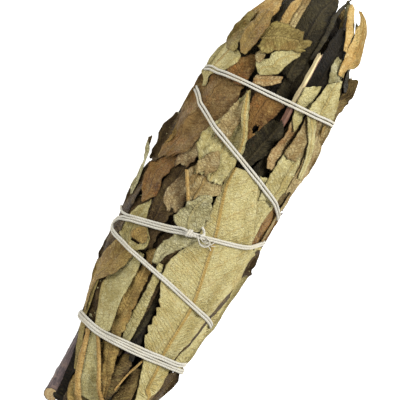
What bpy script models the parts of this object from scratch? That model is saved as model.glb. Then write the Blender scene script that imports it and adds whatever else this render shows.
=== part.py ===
"""Smudge stick: dried leaves and woody stems, laid along X and wound with one doubled cotton string.

Lengths in the tables are millimetres; meshes are made in metres. X runs from the cut stems to the leaf tips,
Z is up, and the stick lies on the plane Z = 0. A place on the stick is given as its distance along X, an
angle round the stick in degrees (0 is straight up, +90 the +Y side, 180 underneath) and a radius from the
stick's axis.
Leaves are laid one after another, each over what already lies there, so they overlap as real leaves do
and no two of them cross.
"""

import math
from dataclasses import dataclass

import bpy
import numpy as np

MM = 0.001

# The stick's outline: half its width, and how far its axis lies to the +Y side, at distances along X.
HALF_WIDTH = [
    (-75, 11.0), (-60, 12.0), (-52, 12.8), (-40, 14.3), (-27, 16.6), (-15, 17.6), (-2, 18.2),
    (22, 17.9), (33, 17.3), (42, 16.4), (48, 15.2), (55, 12.8), (62, 9.0), (75, 4.5),
]
SIDE_SHIFT = [
    (-75, -0.3), (-52, -0.7), (-40, -0.5), (-27, 0.1), (-2, 0.4), (22, -0.8), (42, -1.6), (75, -2.2),
]
WIDEST = 18.2
SMOOTHED_OVER = 5.0
PROFILE_END = 80.0
PROFILE_STEP = 0.5

# The cross-section is a little lower than wide, and pressed flat underneath where the stick lies.
FLATTENING = 0.93
FLAT_SHARE = 0.95
BELOW_OUTLINE = 2.2

# Leaf blades, and the free space kept between pieces.
BLADE = 0.7
GAP = 0.35
LEAST_GAP = 0.22
PACKED_BELOW = 5.7
MIDRIB_BELOW_OUTLINE = 1.5
LEAVES_BELOW_OUTLINE = 1.9
LEAST_FILL, MOST_FILL = -2.5, 3.6
FILL_SMOOTHED = 4.0
ROW_LENGTH = 4.7
LEAST_ROWS = 4
COLUMN_WIDTH = 3.9
LEAST_COLUMNS, MOST_COLUMNS = 2, 5
POINT_HALF_WIDTH = 0.45

# How a blade's sides narrow, how uneven its edges and torn ends are, as shares of its width, and where along
# it a lifted tip starts to rise.
TAPER_POWER = 0.9
EDGE_WAVE = 0.13
BASE_TEAR, TIP_TEAR = 0.12, 0.25
LIFT_FROM = 0.45

# How far a stiff blade bridges what lies below it, along and round the stick; the rounds in which its
# corners are lifted clear and evened out; and the weights of a corner and of its four neighbours in that.
BRIDGED_ALONG, BRIDGED_ROUND = 1.6, 1.4
CLEARING_ROUNDS = 12
EVENING_ROUNDS = 2
OWN_WEIGHT, NEIGHBOUR_WEIGHT = 0.4, 0.15
CLOSE_ENOUGH = 1e-3

# The grid on which the laid surface is kept.
GRID_STEP = 0.25
GRID_LOW, GRID_HIGH = -72.0, 72.0
ROUND_STEPS = 360

# Points taken along a side of each facet to find the cells it covers: on leaves, the inner bunch, stems.
LEAF_SAMPLES, CORE_SAMPLES, STEM_SAMPLES = 12, 32, 40

# The packed inner leaves: a pleated bunch, with leaves standing out of its ends in rings, as (radius over
# the bunch's own, count, least and greatest length).
CORE_LOW, CORE_HIGH = -48.0, 44.0
CORE_SIDES = 24
CORE_ROWS = 10
CORE_RIDGE = 0.9
CORE_BELOW_LEAVES = 0.1
CORE_UNEVEN = 0.15
CORE_END_RINGS = [(0.1, 1, 10, 12), (0.48, 4, 9, 14), (0.84, 8, 8, 15)]
CORE_LEAF_WIDTH = 7.0
CORE_LEAF_ROOT = 5.0
CORE_LEAF_ROWS = (0, 0.35, 0.7, 1.0)
CORE_LEAF_TAPER = (0.8, 1.0, 0.75, 0.12)
CORE_LEAF_TURNED = 12.0
CORE_LEAF_MOVED = 0.5
CORE_LEAF_ARCHED = 0.7
CORE_LEAF_LEAST_RADIUS = 0.9
CORE_LEAF_LEAST_REACH = 2.5

STEM_SIDES = 8
STEM_RINGS = 8
STEM_CROOKED = 0.7
TWIG_SIDES = 7
TWIG_SAMPLES = 40
TWIG_RING_EVERY = 8
TWIG_LAID_SAMPLES = 30

STRING_RADIUS = 0.32
STRAND_PITCH = 0.86
STRING_STEP = 0.5
STRING_POINT_EVERY = 7
STRING_SIDES = 5
STRING_CLEAR = 0.22
ROUTE_POINTS = 4000
TIGHTENING_ROUNDS = 60

# The string's bed: how far beside the strands, ahead and behind leaves are felt, and by how many points.
BED_MARGIN = 0.1
BED_AHEAD = 2.0
BED_POINTS = 9

# Turns count as crossing when they come this near, this many steps or more apart; they are lifted in rounds.
CROSSING_REACH = 0.7
CROSSING_APART = 30
CROSSING_ROUNDS = 6

# The knot's mesh, the ridges of its windings, and the way in which its length lies.
KNOT_TURNS, KNOT_BANDS = 12, 7
KNOT_RIDGE, KNOT_RIDGES, KNOT_RIDGE_LEAN = 0.13, 3, 4
KNOT_AHEAD = (-0.35, 1.0, 0.0)
LOOSE_END_CLEAR = 0.28
LOOSE_END_POINTS = 4
DOWN_FROM_KNOT = 2.5
EXTRA_FROM_KNOT = 6

SHARP_EDGE = math.radians(50)

LOOKS = {
    "pale": ((0.50, 0.45, 0.25), 0.85),
    "tan": ((0.50, 0.35, 0.14), 0.8),
    "brown": ((0.19, 0.12, 0.05), 0.6),
    "olive": ((0.06, 0.05, 0.025), 0.65),
    "bark": ((0.09, 0.055, 0.05), 0.7),
    "string": ((0.75, 0.72, 0.66), 0.9),
}


@dataclass
class Leaf:
    """One leaf: its midrib runs along path; base and tip are the half-widths there over the widest."""

    look: str
    path: list
    width: float
    base: float = 0.12
    tip: float = 0.05
    widest: float = 0.45
    tip_lift: float = 0.0
    curl: float = 0.0


@dataclass
class Stem:
    """A woody stem from its cut end to its hidden end, each given as (along, angle, radius)."""

    start: tuple
    end: tuple
    thick: float
    thin: float


@dataclass
class Shape:
    """A closed body, in millimetres, before it becomes an object. Its parts are joined into it."""

    name: str
    points: np.ndarray
    triangles: list
    look: str
    smooth: bool = False
    parts: tuple = ()


STEMS = [
    Stem((-59.5, 60, 11.2), (-6, 72, 10.4), 1.9, 1.4),
    Stem((-61.0, 37, 10.0), (-10, 41, 9.8), 1.4, 1.0),
    Stem((-54.0, -3, 10.2), (-8, 4, 9.9), 1.45, 1.0),
    Stem((-58.5, -29, 9.4), (-6, -28, 9.8), 1.2, 0.9),
    Stem((-60.5, -74, 9.8), (-2, -71, 10.2), 1.6, 1.1),
    Stem((-63.0, -121, 9.3), (4, -117, 10.0), 1.8, 1.2),
    Stem((-64.5, 166, 9.1), (-4, 164, 9.8), 1.6, 1.1),
    Stem((-58.0, 114, 9.7), (0, 117, 9.8), 1.4, 1.0),
]

# Leaves in the order in which they are laid, the innermost first.
LEAVES = [
    # Packed inner layer, all round.
    Leaf("olive", [(-46, 180), (62, 172)], 14, tip=0.2),
    Leaf("brown", [(-48, 135), (59, 140)], 14, tip=0.15),
    Leaf("pale", [(-44, -142), (61, -146)], 14),
    Leaf("brown", [(-48, 95), (57, 92)], 13, tip=0.3),
    Leaf("olive", [(-42, -100), (59, -96)], 13, tip=0.15),
    Leaf("brown", [(-46, 52), (16, 48)], 11),
    Leaf("olive", [(8, 52), (62, 38)], 13, tip=0.3),
    Leaf("pale", [(-44, -50), (28, -58)], 12),
    Leaf("brown", [(-16, 22), (34, 14)], 12, tip=0.4, base=0.4),
    Leaf("olive", [(40, 0), (62, 6)], 11, tip=0.75, base=0.6, widest=0.6),
    Leaf("olive", [(30, -36), (60, -42)], 9, tip=0.3, base=0.6),
    # Underneath and on the sides.
    Leaf("pale", [(-50, -170), (-14, -160), (30, -166)], 16),
    Leaf("brown", [(-30, 150), (12, 158), (48, 150)], 14, tip=0.4),
    Leaf("tan", [(-52, 118), (-20, 112), (14, 122)], 12),
    Leaf("pale", [(-6, 112), (26, 108), (57, 118)], 13, tip=0.12),
    Leaf("brown", [(-50, -128), (-22, -122), (8, -130)], 13, tip=0.3),
    Leaf("pale", [(0, -122), (30, -118), (60, -124)], 13),
    Leaf("brown", [(-46, 86), (-20, 88), (6, 84)], 9, tip=0.5),
    # Seen from above, at the cut end and along the +Y side.
    Leaf("pale", [(-44, -80), (-24, -79), (-2, -76)], 14, base=0.4, tip=0.3),
    Leaf("pale", [(-43, 2), (-26, 7), (-8, 4)], 3.4, base=0.5, tip=0.3),
    Leaf("brown", [(-42, 17), (-26, 18), (-8, 15)], 6.0, base=0.7, tip=0.3, curl=0.3),
    Leaf("pale", [(-57, 19), (-48, 36), (-36, 50)], 4.6, base=0.5),
    Leaf("pale", [(-55, 7), (-42, 32), (-30, 37), (-16, 31)], 8.0, tip=0.4),
    Leaf("olive", [(-51, 50), (-40, 60), (-24, 66)], 3.4, tip=0.5),
    Leaf("brown", [(-36, 66), (-27, 55), (-18, 36)], 7.0, base=0.3, tip=0.25, curl=0.2),
    Leaf("brown", [(-16, 30), (-2, 32), (12, 34)], 7.5, base=0.6, tip=0.4),
    Leaf("pale", [(-19, 44), (-12, 45), (-4, 52)], 7.0, base=0.5, tip=0.5, curl=0.7),
    Leaf("brown", [(-7, 62), (2, 54), (10, 38)], 6.5, base=0.6, tip=0.2, curl=0.4),
    Leaf("brown", [(6, 54), (24, 55), (40, 36)], 16, base=0.5, tip=0.3, widest=0.4),
    Leaf("olive", [(-3, 74), (3, 78), (9, 82)], 3.4, base=0.6, tip_lift=1.6),
    # The -Y side and the tip end.
    Leaf("pale", [(-4, -62), (16, -66), (35, -66)], 8.5, base=0.4, tip=0.3),
    Leaf("brown", [(28, -76), (38, -82), (46, -86)], 7.0, base=0.5, tip=0.8, curl=0.5),
    Leaf("olive", [(12, -8), (20, -14), (29, -20)], 8.0, base=0.7, tip=0.6),
    Leaf("brown", [(21, 4), (28, 0), (35, -6)], 8.5, base=0.5, tip=0.7),
    Leaf("pale", [(15, -31), (26, -31), (39, -30)], 4.8, base=0.7, tip=0.95),
    Leaf("pale", [(8, -46), (26, -50), (43, -49)], 11.0, base=0.5, tip=0.85, widest=0.6),
    Leaf("tan", [(38, -64), (51, -60), (62.5, -62)], 7.5, base=0.7, curl=0.4),
    Leaf("tan", [(46, 48), (52, 52), (58, 60)], 6.0, base=0.7, tip=0.8),
    Leaf("pale", [(44, 24), (52, 24), (62, 30)], 5.5, base=0.7, tip=0.3),
    # The large pale leaf, and the scraps over it.
    Leaf("pale", [(-57, -54), (-38, -35), (-16, -32), (14, -13)], 20, base=0.1, widest=0.58),
    Leaf("pale", [(-6, 9), (2, 11), (11, 16)], 11.0, base=0.7, tip=0.8),
    Leaf("pale", [(6, 15), (18, 16), (31, 14)], 10.5, base=0.85, tip=0.35, widest=0.3),
    Leaf("pale", [(-15, 15), (-7, 6), (3, -2)], 7.0, base=0.2, tip=0.3, widest=0.7),
    Leaf("tan", [(27, 66), (34, 64), (41, 58)], 12.0, base=0.6, tip=0.6, curl=0.3),
    Leaf("pale", [(33, 22), (39, 14), (46, 0)], 7.5, base=0.6, tip=0.4, curl=0.3),
    Leaf("olive", [(38, 34), (44, 20), (51, 8)], 9.5, base=0.5, tip=0.7, curl=0.4),
    Leaf("brown", [(36, 44), (44, 46), (53, 50)], 6.0, base=0.6, tip=0.6, curl=0.4),
]

# The split twig, as its ends' (along, angle) and its radius, lies over this many of the leaves.
TWIG = ((24, -23), (47, -21), 0.8)
LEAVES_UNDER_TWIG = 34

# The leaves that the stick lies on. They bulge down between the turns of string, and are flat there. Each is
# given with the rows of its grid and the stretches where it is flat.
RESTING_LEAVES = [
    (
        "leaf_resting",
        Leaf("brown", [(-34, 180), (-10, 178), (12, 181)], 15, base=0.3, tip=0.6),
        [-34, -28, -24.5, -21, -15, -9.5, -7, -2.5, -0.5, 4.5, 9, 12],
        [(-21.0, -9.5), (-0.5, 9.0)],
    ),
    (
        "leaf_resting_tip",
        Leaf("brown", [(14, 181), (28, 180), (43, 178)], 14, base=0.6, tip=0.15, widest=0.4),
        [14, 19.5, 23, 27, 29, 32, 37.5, 43],
        [(19.5, 27.0)],
    ),
]
RESTING_SEED = 99

# The string's way round the stick, as (angle, distance along). It is doubled and always winds the same way.
STRING_ROUTE = [
    (-2, -7.6), (16, -9.3), (34, -10.5), (56, -11.8), (80, -13.6), (180, -25.0), (270, -36.4),
    (325, -38.6), (360, -39.4), (395, -39.6), (450, -38.4), (540, -38.2), (630, -39.2),
    (685, -40.6), (720, -41.2), (755, -41.4), (810, -39.8), (900, -34.0), (990, -26.0),
    (1035, -23.4), (1080, -20.6), (1126, -17.8), (1165, -15.6), (1260, -4.5), (1350, 5.4),
    (1386, 9.5), (1430, 14.4), (1465, 18.6), (1492, 21.7), (1530, 25.8), (1620, 30.0), (1710, 33.4),
    (1760, 33.2), (1800, 32.5), (1832, 32.0), (1855, 31.4), (1890, 29.6), (1980, 14.5), (2070, -0.6),
    (2110, -4.3), (2140, -6.2), (2158, -7.4),
]
KNOT = (-7.5, -1.0)
KNOT_SIZE = (1.5, 1.15, 0.85)
TAILS = [
    [(-7.2, -2), (-6.0, -5), (-5.0, -9)],
    [(-7.4, -3), (-8.4, -10), (-8.7, -16), (-7.6, -19), (-7.8, -23)],
]
EXTRA_STRAND = [(-7.3, -1), (-6.9, 6), (-7.7, 17), (-8.9, 31), (-9.8, 44)]


def smooth_profile(stations):
    """A smooth function through a few (distance along, value) stations."""
    along = np.arange(-PROFILE_END, PROFILE_END + PROFILE_STEP, PROFILE_STEP)
    raw = np.interp(along, *zip(*stations))
    reach = int(SMOOTHED_OVER / PROFILE_STEP)
    kernel = np.hanning(2 * reach + 3)
    padded = np.pad(raw, reach + 1, mode="edge")
    smooth = np.convolve(padded, kernel / kernel.sum(), mode="valid")
    return lambda x: np.interp(x, along, smooth)


half_width = smooth_profile(HALF_WIDTH)
side_shift = smooth_profile(SIDE_SHIFT)


def bottom_radius(x):
    """Radius of the plane Z = 0 straight below the axis."""
    return 0.5 * (half_width(x) + WIDEST) + BELOW_OUTLINE


def pressed(angle):
    """How much the section is drawn in at an angle, so that it is flat underneath."""
    down = np.maximum(-np.cos(np.radians(angle)), 1e-6)
    return np.minimum(1.0, FLAT_SHARE / down)


def to_space(x, angle, radius):
    """The point, in millimetres, at a place on the stick."""
    x, angle, radius = np.broadcast_arrays(x, angle, radius)
    drawn = radius * pressed(angle)
    turn = np.radians(angle)
    height = FLATTENING * FLAT_SHARE * bottom_radius(x)
    return np.stack(
        [x, side_shift(x) + drawn * np.sin(turn), height + FLATTENING * drawn * np.cos(turn)], axis=-1
    )


def from_space(points):
    """The distance along, angle and radius of points in millimetres."""
    x = points[..., 0]
    across = points[..., 1] - side_shift(x)
    up = (points[..., 2] - FLATTENING * FLAT_SHARE * bottom_radius(x)) / FLATTENING
    angle = np.degrees(np.arctan2(across, up))
    return x, angle, np.hypot(across, up) / pressed(angle)


class LaidSurface:
    """The radius of what has been laid so far, on a grid along and round the stick."""

    def __init__(self, empty=0.0):
        self.count = int((GRID_HIGH - GRID_LOW) / GRID_STEP) + 1
        self.along = GRID_LOW + GRID_STEP * np.arange(self.count)
        self.radius = np.full((self.count, ROUND_STEPS), empty)

    def cells(self, x, angle):
        row = np.clip(np.rint((x - GRID_LOW) / GRID_STEP).astype(int), 0, self.count - 1)
        column = np.rint(angle * ROUND_STEPS / 360).astype(int) % ROUND_STEPS
        return row, column

    def highest(self, x, angle, reach=1):
        """The largest radius in the cells next to each place."""
        row, column = self.cells(x, angle)
        best = np.zeros(np.shape(row))
        for i in range(-reach, reach + 1):
            for j in range(-reach, reach + 1):
                near = self.radius[np.clip(row + i, 0, self.count - 1), (column + j) % ROUND_STEPS]
                best = np.maximum(best, near)
        return best

    def add(self, points, pick=np.maximum):
        """Raises the surface to these points, or lowers it to them."""
        x, angle, radius = from_space(points.reshape(-1, 3))
        pick.at(self.radius, self.cells(x, angle), radius)

    def missing(self):
        """How much radius the laid leaves lack, in each stretch of the surface, to reach the outline."""
        laid = self.radius > 0
        lack = np.where(laid, half_width(self.along)[:, None] - LEAVES_BELOW_OUTLINE - self.radius, 0)
        lack, weight = lack.copy(), laid.astype(float)
        for axis, steps in ((0, FILL_SMOOTHED / GRID_STEP), (1, math.degrees(FILL_SMOOTHED / WIDEST))):
            for _ in range(2):
                lack = box_mean(lack, int(steps), axis)
                weight = box_mean(weight, int(steps), axis)
        return np.clip(lack / np.maximum(weight, 0.02), LEAST_FILL, MOST_FILL)

    def draped(self, along_mm, round_mm):
        """A copy spread by the given reach and smoothed, so that a stiff blade on it clears every edge."""
        spread = self.radius.copy()
        steps_along = int(along_mm / GRID_STEP)
        steps_round = int(math.degrees(round_mm / WIDEST) * ROUND_STEPS / 360)
        for axis, steps in ((0, steps_along), (1, steps_round)):
            widened = spread.copy()
            for k in range(1, steps + 1):
                widened = np.maximum(widened, shifted(spread, k, axis))
                widened = np.maximum(widened, shifted(spread, -k, axis))
            spread = widened
        return box_mean(box_mean(spread, steps_along // 2, 0), steps_round // 2, 1)


def box_mean(grid, steps, axis):
    """The grid averaged over this many steps to either side."""
    total = grid.copy()
    for k in range(1, steps + 1):
        total += shifted(grid, k, axis) + shifted(grid, -k, axis)
    return total / (2 * steps + 1)


def shifted(grid, steps, axis):
    """The grid moved along the stick, its end row repeated, or turned round it."""
    if axis == 1:
        return np.roll(grid, steps, axis=1)
    moved = np.roll(grid, steps, axis=0)
    if steps > 0:
        moved[:steps] = grid[0]
    else:
        moved[steps:] = grid[-1]
    return moved


def along_path(path, share):
    """Points at shares of a path, on a smooth curve through its given points."""
    given = np.array(path, float)
    if len(given) == 2:
        return given[0] + (given[1] - given[0]) * share[:, None]
    knots = np.linspace(0, 1, len(given))
    result = np.empty((len(share), 2))
    for k in range(2):
        slope = np.gradient(given[:, k], knots)
        result[:, k] = hermite(knots, given[:, k], slope, share)
    return result


def hermite(knots, values, slopes, at):
    """Cubic through values with the given slopes."""
    i = np.clip(np.searchsorted(knots, at, side="right") - 1, 0, len(knots) - 2)
    h = knots[i + 1] - knots[i]
    t = (at - knots[i]) / h
    rise = (3 - 2 * t) * t * t
    return (
        values[i] * (1 - rise)
        + values[i + 1] * rise
        + h * (slopes[i] * (t - 2 * t * t + t**3) + slopes[i + 1] * (t**3 - t * t))
    )


def leaf_outline(leaf, share):
    """Half-width of a leaf, in millimetres, at shares of its length."""
    toward_base = np.sin(0.5 * np.pi * np.clip(share / leaf.widest, 0, 1)) ** TAPER_POWER
    past_widest = np.clip((share - leaf.widest) / (1 - leaf.widest), 0, 1)
    toward_tip = np.cos(0.5 * np.pi * past_widest) ** TAPER_POWER
    lower = leaf.base + (1 - leaf.base) * toward_base
    upper = leaf.tip + (1 - leaf.tip) * toward_tip
    half = 0.5 * leaf.width * np.where(share < leaf.widest, lower, upper)
    return np.maximum(half, POINT_HALF_WIDTH)


def leaf_places(leaf, share, across, rng):
    """Distance along and angle of each grid point of a leaf."""
    centre = along_path(leaf.path, share)
    reference = half_width(centre[:, 0]) - MIDRIB_BELOW_OUTLINE
    flat = np.column_stack([centre[:, 0], np.radians(centre[:, 1]) * reference])
    direction = np.gradient(flat, share, axis=0)
    direction /= np.linalg.norm(direction, axis=1)[:, None]
    normal = np.column_stack([-direction[:, 1], direction[:, 0]])
    half = leaf_outline(leaf, share)
    wave = 1 + EDGE_WAVE * rng.uniform(-1, 1, (len(share), 2))
    wave[[0, -1]] = 1
    side = np.where(across[None, :] < 0, wave[:, :1], wave[:, 1:])
    offset = across[None, :] * half[:, None] * side
    tear = np.zeros((len(share), len(across)))
    tear[0] = -leaf.base * rng.uniform(-0.2, 1, len(across)) * BASE_TEAR * leaf.width
    tear[-1] = leaf.tip * rng.uniform(-0.2, 1, len(across)) * TIP_TEAR * leaf.width
    x = centre[:, :1] + offset * normal[:, :1] + tear * direction[:, :1]
    turned = (offset * normal[:, 1:] + tear * direction[:, 1:]) / reference[:, None]
    angle = centre[:, 1:] + np.degrees(turned)
    return x, angle


def facet_samples(points, per_side=LEAF_SAMPLES):
    """Many points on the two triangles of every cell of a grid of corners, as (cells, samples, 3)."""
    a, b = points[:-1, :-1], points[1:, :-1]
    c, d = points[1:, 1:], points[:-1, 1:]
    side = np.linspace(0, 1, per_side + 1)
    p, q = (g.ravel()[:, None] for g in np.meshgrid(side, side, indexing="ij"))
    a, b, c, d = (g[:, :, None, :] for g in (a, b, c, d))
    first = a + p * (b - a) + q * (c - b)
    second = a + q * (d - a) + p * (c - d)
    return np.where(q <= p, first, second)


def at_corners(need, shape):
    """What each corner of a grid needs: the most that any of its cells does, and never less than 0."""
    most = np.zeros(shape)
    for i in (0, 1):
        for j in (0, 1):
            part = most[i : i + need.shape[0], j : j + need.shape[1]]
            np.maximum(part, need, out=part)
    return most


def settle(surface, x, angle, radius):
    """Lifts the corners of a blade's underside until all its facets clear what lies below."""
    for _ in range(CLEARING_ROUNDS):
        place = from_space(facet_samples(to_space(x, angle, radius)))
        short = surface.highest(place[0], place[1]) + LEAST_GAP - place[2]
        need = short.max(axis=-1)
        if need.max() <= CLOSE_ENOUGH:
            break
        radius = radius + at_corners(need, radius.shape)
    return radius


def evened(radius):
    """Each corner's radius averaged with its neighbours'."""
    framed = np.pad(radius, 1, mode="edge")
    sides = framed[:-2, 1:-1] + framed[2:, 1:-1] + framed[1:-1, :-2] + framed[1:-1, 2:]
    return OWN_WEIGHT * radius + NEIGHBOUR_WEIGHT * sides


def blade_solid(x, angle, inner, thickness):
    """Points and triangles of a blade between its underside and its outer face."""
    rows, columns = x.shape
    low, high = to_space(x, angle, inner), to_space(x, angle, inner + thickness)
    points = np.concatenate([low.reshape(-1, 3), high.reshape(-1, 3)])
    count = rows * columns
    index = np.arange(count).reshape(rows, columns)
    triangles = []
    for i in range(rows - 1):
        for j in range(columns - 1):
            a, b, c, d = index[i, j], index[i + 1, j], index[i + 1, j + 1], index[i, j + 1]
            triangles += [(a, b, c), (a, c, d)]
            triangles += [(a + count, c + count, b + count), (a + count, d + count, c + count)]
    rim = list(index[0, :]) + list(index[1:, -1]) + list(index[-1, -2::-1]) + list(index[-2:0:-1, 0])
    for a, b in zip(rim, rim[1:] + rim[:1]):
        triangles += [(a, b, b + count), (a, b + count, a + count)]
    return points, triangles


def facing_out(points, triangles):
    """The triangles, all turned over if they face inwards."""
    corners = points[np.array(triangles)]
    volume = np.einsum("ij,ij->i", corners[:, 0], np.cross(corners[:, 1], corners[:, 2])).sum()
    return triangles if volume > 0 else [t[::-1] for t in triangles]


def material(look):
    """The Principled material of a look, made once."""
    if look in bpy.data.materials:
        return bpy.data.materials[look]
    colour, roughness = LOOKS[look]
    made = bpy.data.materials.new(look)
    made.use_nodes = True
    shader = made.node_tree.nodes["Principled BSDF"]
    shader.inputs["Base Color"].default_value = (*colour, 1)
    shader.inputs["Roughness"].default_value = roughness
    shader.inputs["Metallic"].default_value = 0.0
    made.diffuse_color = (*colour, 1)
    return made


def add_solid(shape):
    """The object of a shape, with its parts joined into it."""
    triangles = facing_out(shape.points, shape.triangles)
    mesh = bpy.data.meshes.new(shape.name)
    mesh.from_pydata((shape.points * MM).tolist(), [], [tuple(int(k) for k in t) for t in triangles])
    mesh.materials.append(material(shape.look))
    if shape.smooth:
        mesh.shade_smooth()
        mesh.set_sharp_from_angle(angle=SHARP_EDGE)
    solid = bpy.data.objects.new(shape.name, mesh)
    bpy.context.scene.collection.objects.link(solid)
    if shape.parts:
        join_into(solid, [add_solid(part) for part in shape.parts])
    return solid


def lay_leaf(surface, fill, name, leaf, seed, shares=None, stretches=()):
    """Lays one leaf over what is there and adds it to the surface."""
    rng = np.random.default_rng(seed)
    (x_start, angle_start), (x_end, angle_end) = leaf.path[0], leaf.path[-1]
    turned = math.radians(angle_end - angle_start) * (WIDEST - MIDRIB_BELOW_OUTLINE)
    length = math.hypot(x_end - x_start, turned)
    if shares is None:
        shares = np.linspace(0, 1, max(LEAST_ROWS, round(length / ROW_LENGTH) + 1))
    columns = int(np.clip(round(leaf.width / COLUMN_WIDTH), LEAST_COLUMNS, MOST_COLUMNS))
    across = np.linspace(-1, 1, columns + 1)
    x, angle = leaf_places(leaf, shares, across, rng)
    cells = surface.cells(x, angle)
    packed = half_width(x) - PACKED_BELOW + fill[cells]
    radius = np.maximum(surface.draped(BRIDGED_ALONG, BRIDGED_ROUND)[cells], packed) + GAP
    radius = radius + leaf.tip_lift * np.clip((shares - LIFT_FROM) / (1 - LIFT_FROM), 0, 1)[:, None] ** 2
    radius = radius + leaf.curl * np.abs(across)[None, :] ** 3
    radius = settle(surface, x, angle, radius)
    for _ in range(EVENING_ROUNDS):
        radius = settle(surface, x, angle, np.maximum(radius, evened(radius)))
    for low, high in stretches:
        flat = (x >= low - 1e-6) & (x <= high + 1e-6)
        radius = np.where(flat, bottom_radius(x) - BLADE, radius)
    points, triangles = blade_solid(x, angle, radius, BLADE)
    surface.add(facet_samples(to_space(x, angle, radius + BLADE)))
    return Shape(name, points, triangles, leaf.look)


def tube(line, frames, radius, sides):
    """Points and triangles of a round rod with flat ends. frames holds two unit vectors for each point."""
    turns = 2 * np.pi * np.arange(sides) / sides
    first, second = frames
    radius = np.broadcast_to(radius, (len(line),))[:, None, None]
    ring = np.cos(turns)[None, :, None] * first[:, None] + np.sin(turns)[None, :, None] * second[:, None]
    points = (line[:, None] + radius * ring).reshape(-1, 3)
    triangles = []
    for i in range(len(line) - 1):
        for k in range(sides):
            a, b = i * sides + k, i * sides + (k + 1) % sides
            triangles += [(a, b, b + sides), (a, b + sides, a + sides)]
    last = (len(line) - 1) * sides
    for k in range(1, sides - 1):
        triangles += [(0, k + 1, k), (last, last + k, last + k + 1)]
    return points, triangles


def line_frames(line, outward):
    """Two unit vectors across a line at each point, the first of them as near outward as it can be."""
    along = np.gradient(line, axis=0)
    along /= np.linalg.norm(along, axis=1)[:, None]
    first = outward - along * (outward * along).sum(axis=1)[:, None]
    first /= np.linalg.norm(first, axis=1)[:, None]
    return first, np.cross(along, first)


def outward_at(x, angle, radius):
    """Unit vectors pointing away from the axis."""
    step = to_space(x, angle, radius + 0.1) - to_space(x, angle, radius)
    return step / np.linalg.norm(step, axis=-1)[..., None]


def lay_stem(surface, ceiling, name, stem):
    """A woody stem, slightly crooked, with both ends cut square."""
    share = np.linspace(0, 1, STEM_RINGS)
    start, end = np.array(stem.start, float), np.array(stem.end, float)
    x, angle, radius = (start + (end - start) * share[:, None]).T
    angle = angle + STEM_CROOKED * np.sin(2 * np.pi * share + start[1])
    line = to_space(x, angle, radius)
    thickness = stem.thick + (stem.thin - stem.thick) * share
    points, triangles = tube(line, line_frames(line, outward_at(x, angle, radius)), thickness, STEM_SIDES)
    rings = points.reshape(len(line), STEM_SIDES, 3)
    samples = facet_samples(np.concatenate([rings, rings[:, :1]], axis=1), STEM_SAMPLES)
    surface.add(samples)
    ceiling.add(samples, np.minimum)
    return Shape(name, points, triangles, "bark", smooth=True)


def sink_below(ceiling, x, angle, radius, least, closed=False):
    """Draws a surface in until all its facets lie below the ceiling. closed says that its sides meet."""
    for _ in range(CLEARING_ROUNDS):
        place = from_space(facet_samples(to_space(x, angle, radius), CORE_SAMPLES))
        over = place[2] + least - ceiling.radius[ceiling.cells(place[0], place[1])]
        need = over.max(axis=-1)
        if need.max() <= CLOSE_ENOUGH:
            break
        drop = at_corners(need, radius.shape)
        if closed:
            drop[:, 0] = drop[:, -1] = np.maximum(drop[:, 0], drop[:, -1])
        radius = radius - drop
    return radius


def lay_core(surface, ceiling, fill):
    """The packed inner leaves as one pleated bunch, with the leaf tips standing out of both ends."""
    rng = np.random.default_rng(3)
    stations = np.linspace(CORE_LOW, CORE_HIGH, CORE_ROWS)
    peak = np.arange(CORE_SIDES) % 2 == 0
    x = np.repeat(stations[:, None], CORE_SIDES, axis=1)
    angle = np.broadcast_to(360 * np.arange(CORE_SIDES) / CORE_SIDES, x.shape)
    radius = half_width(stations)[:, None] - PACKED_BELOW - CORE_BELOW_LEAVES - np.where(peak, 0, CORE_RIDGE)
    radius = radius - CORE_UNEVEN * rng.uniform(0, 1, x.shape) + fill[surface.cells(x, angle)]
    x, angle, radius = (np.hstack([v, v[:, :1]]) for v in (x, angle, radius))
    radius = sink_below(ceiling, x, angle, radius, GAP, closed=True)
    grid = to_space(x, angle, radius)
    surface.add(facet_samples(grid, CORE_SAMPLES))
    points = grid[:, :-1].reshape(-1, 3)
    triangles = []
    for i in range(CORE_ROWS - 1):
        for k in range(CORE_SIDES):
            a, b = i * CORE_SIDES + k, i * CORE_SIDES + (k + 1) % CORE_SIDES
            triangles += [(a, b, b + CORE_SIDES), (a, b + CORE_SIDES, a + CORE_SIDES)]
    for first, end in ((0, CORE_LOW), ((CORE_ROWS - 1) * CORE_SIDES, CORE_HIGH)):
        hub = len(points)
        points = np.vstack([points, to_space(np.array([end]), 0.0, 0.0)])
        for k in range(CORE_SIDES):
            a, b = first + k, first + (k + 1) % CORE_SIDES
            triangles.append((hub, b, a) if first == 0 else (hub, a, b))
    leaves = core_leaves(surface, ceiling, fill, CORE_LOW, -1, rng)
    leaves += core_leaves(surface, ceiling, fill, CORE_HIGH, 1, rng)
    return Shape("inner_leaves", points, triangles, "olive", parts=leaves)


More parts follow.
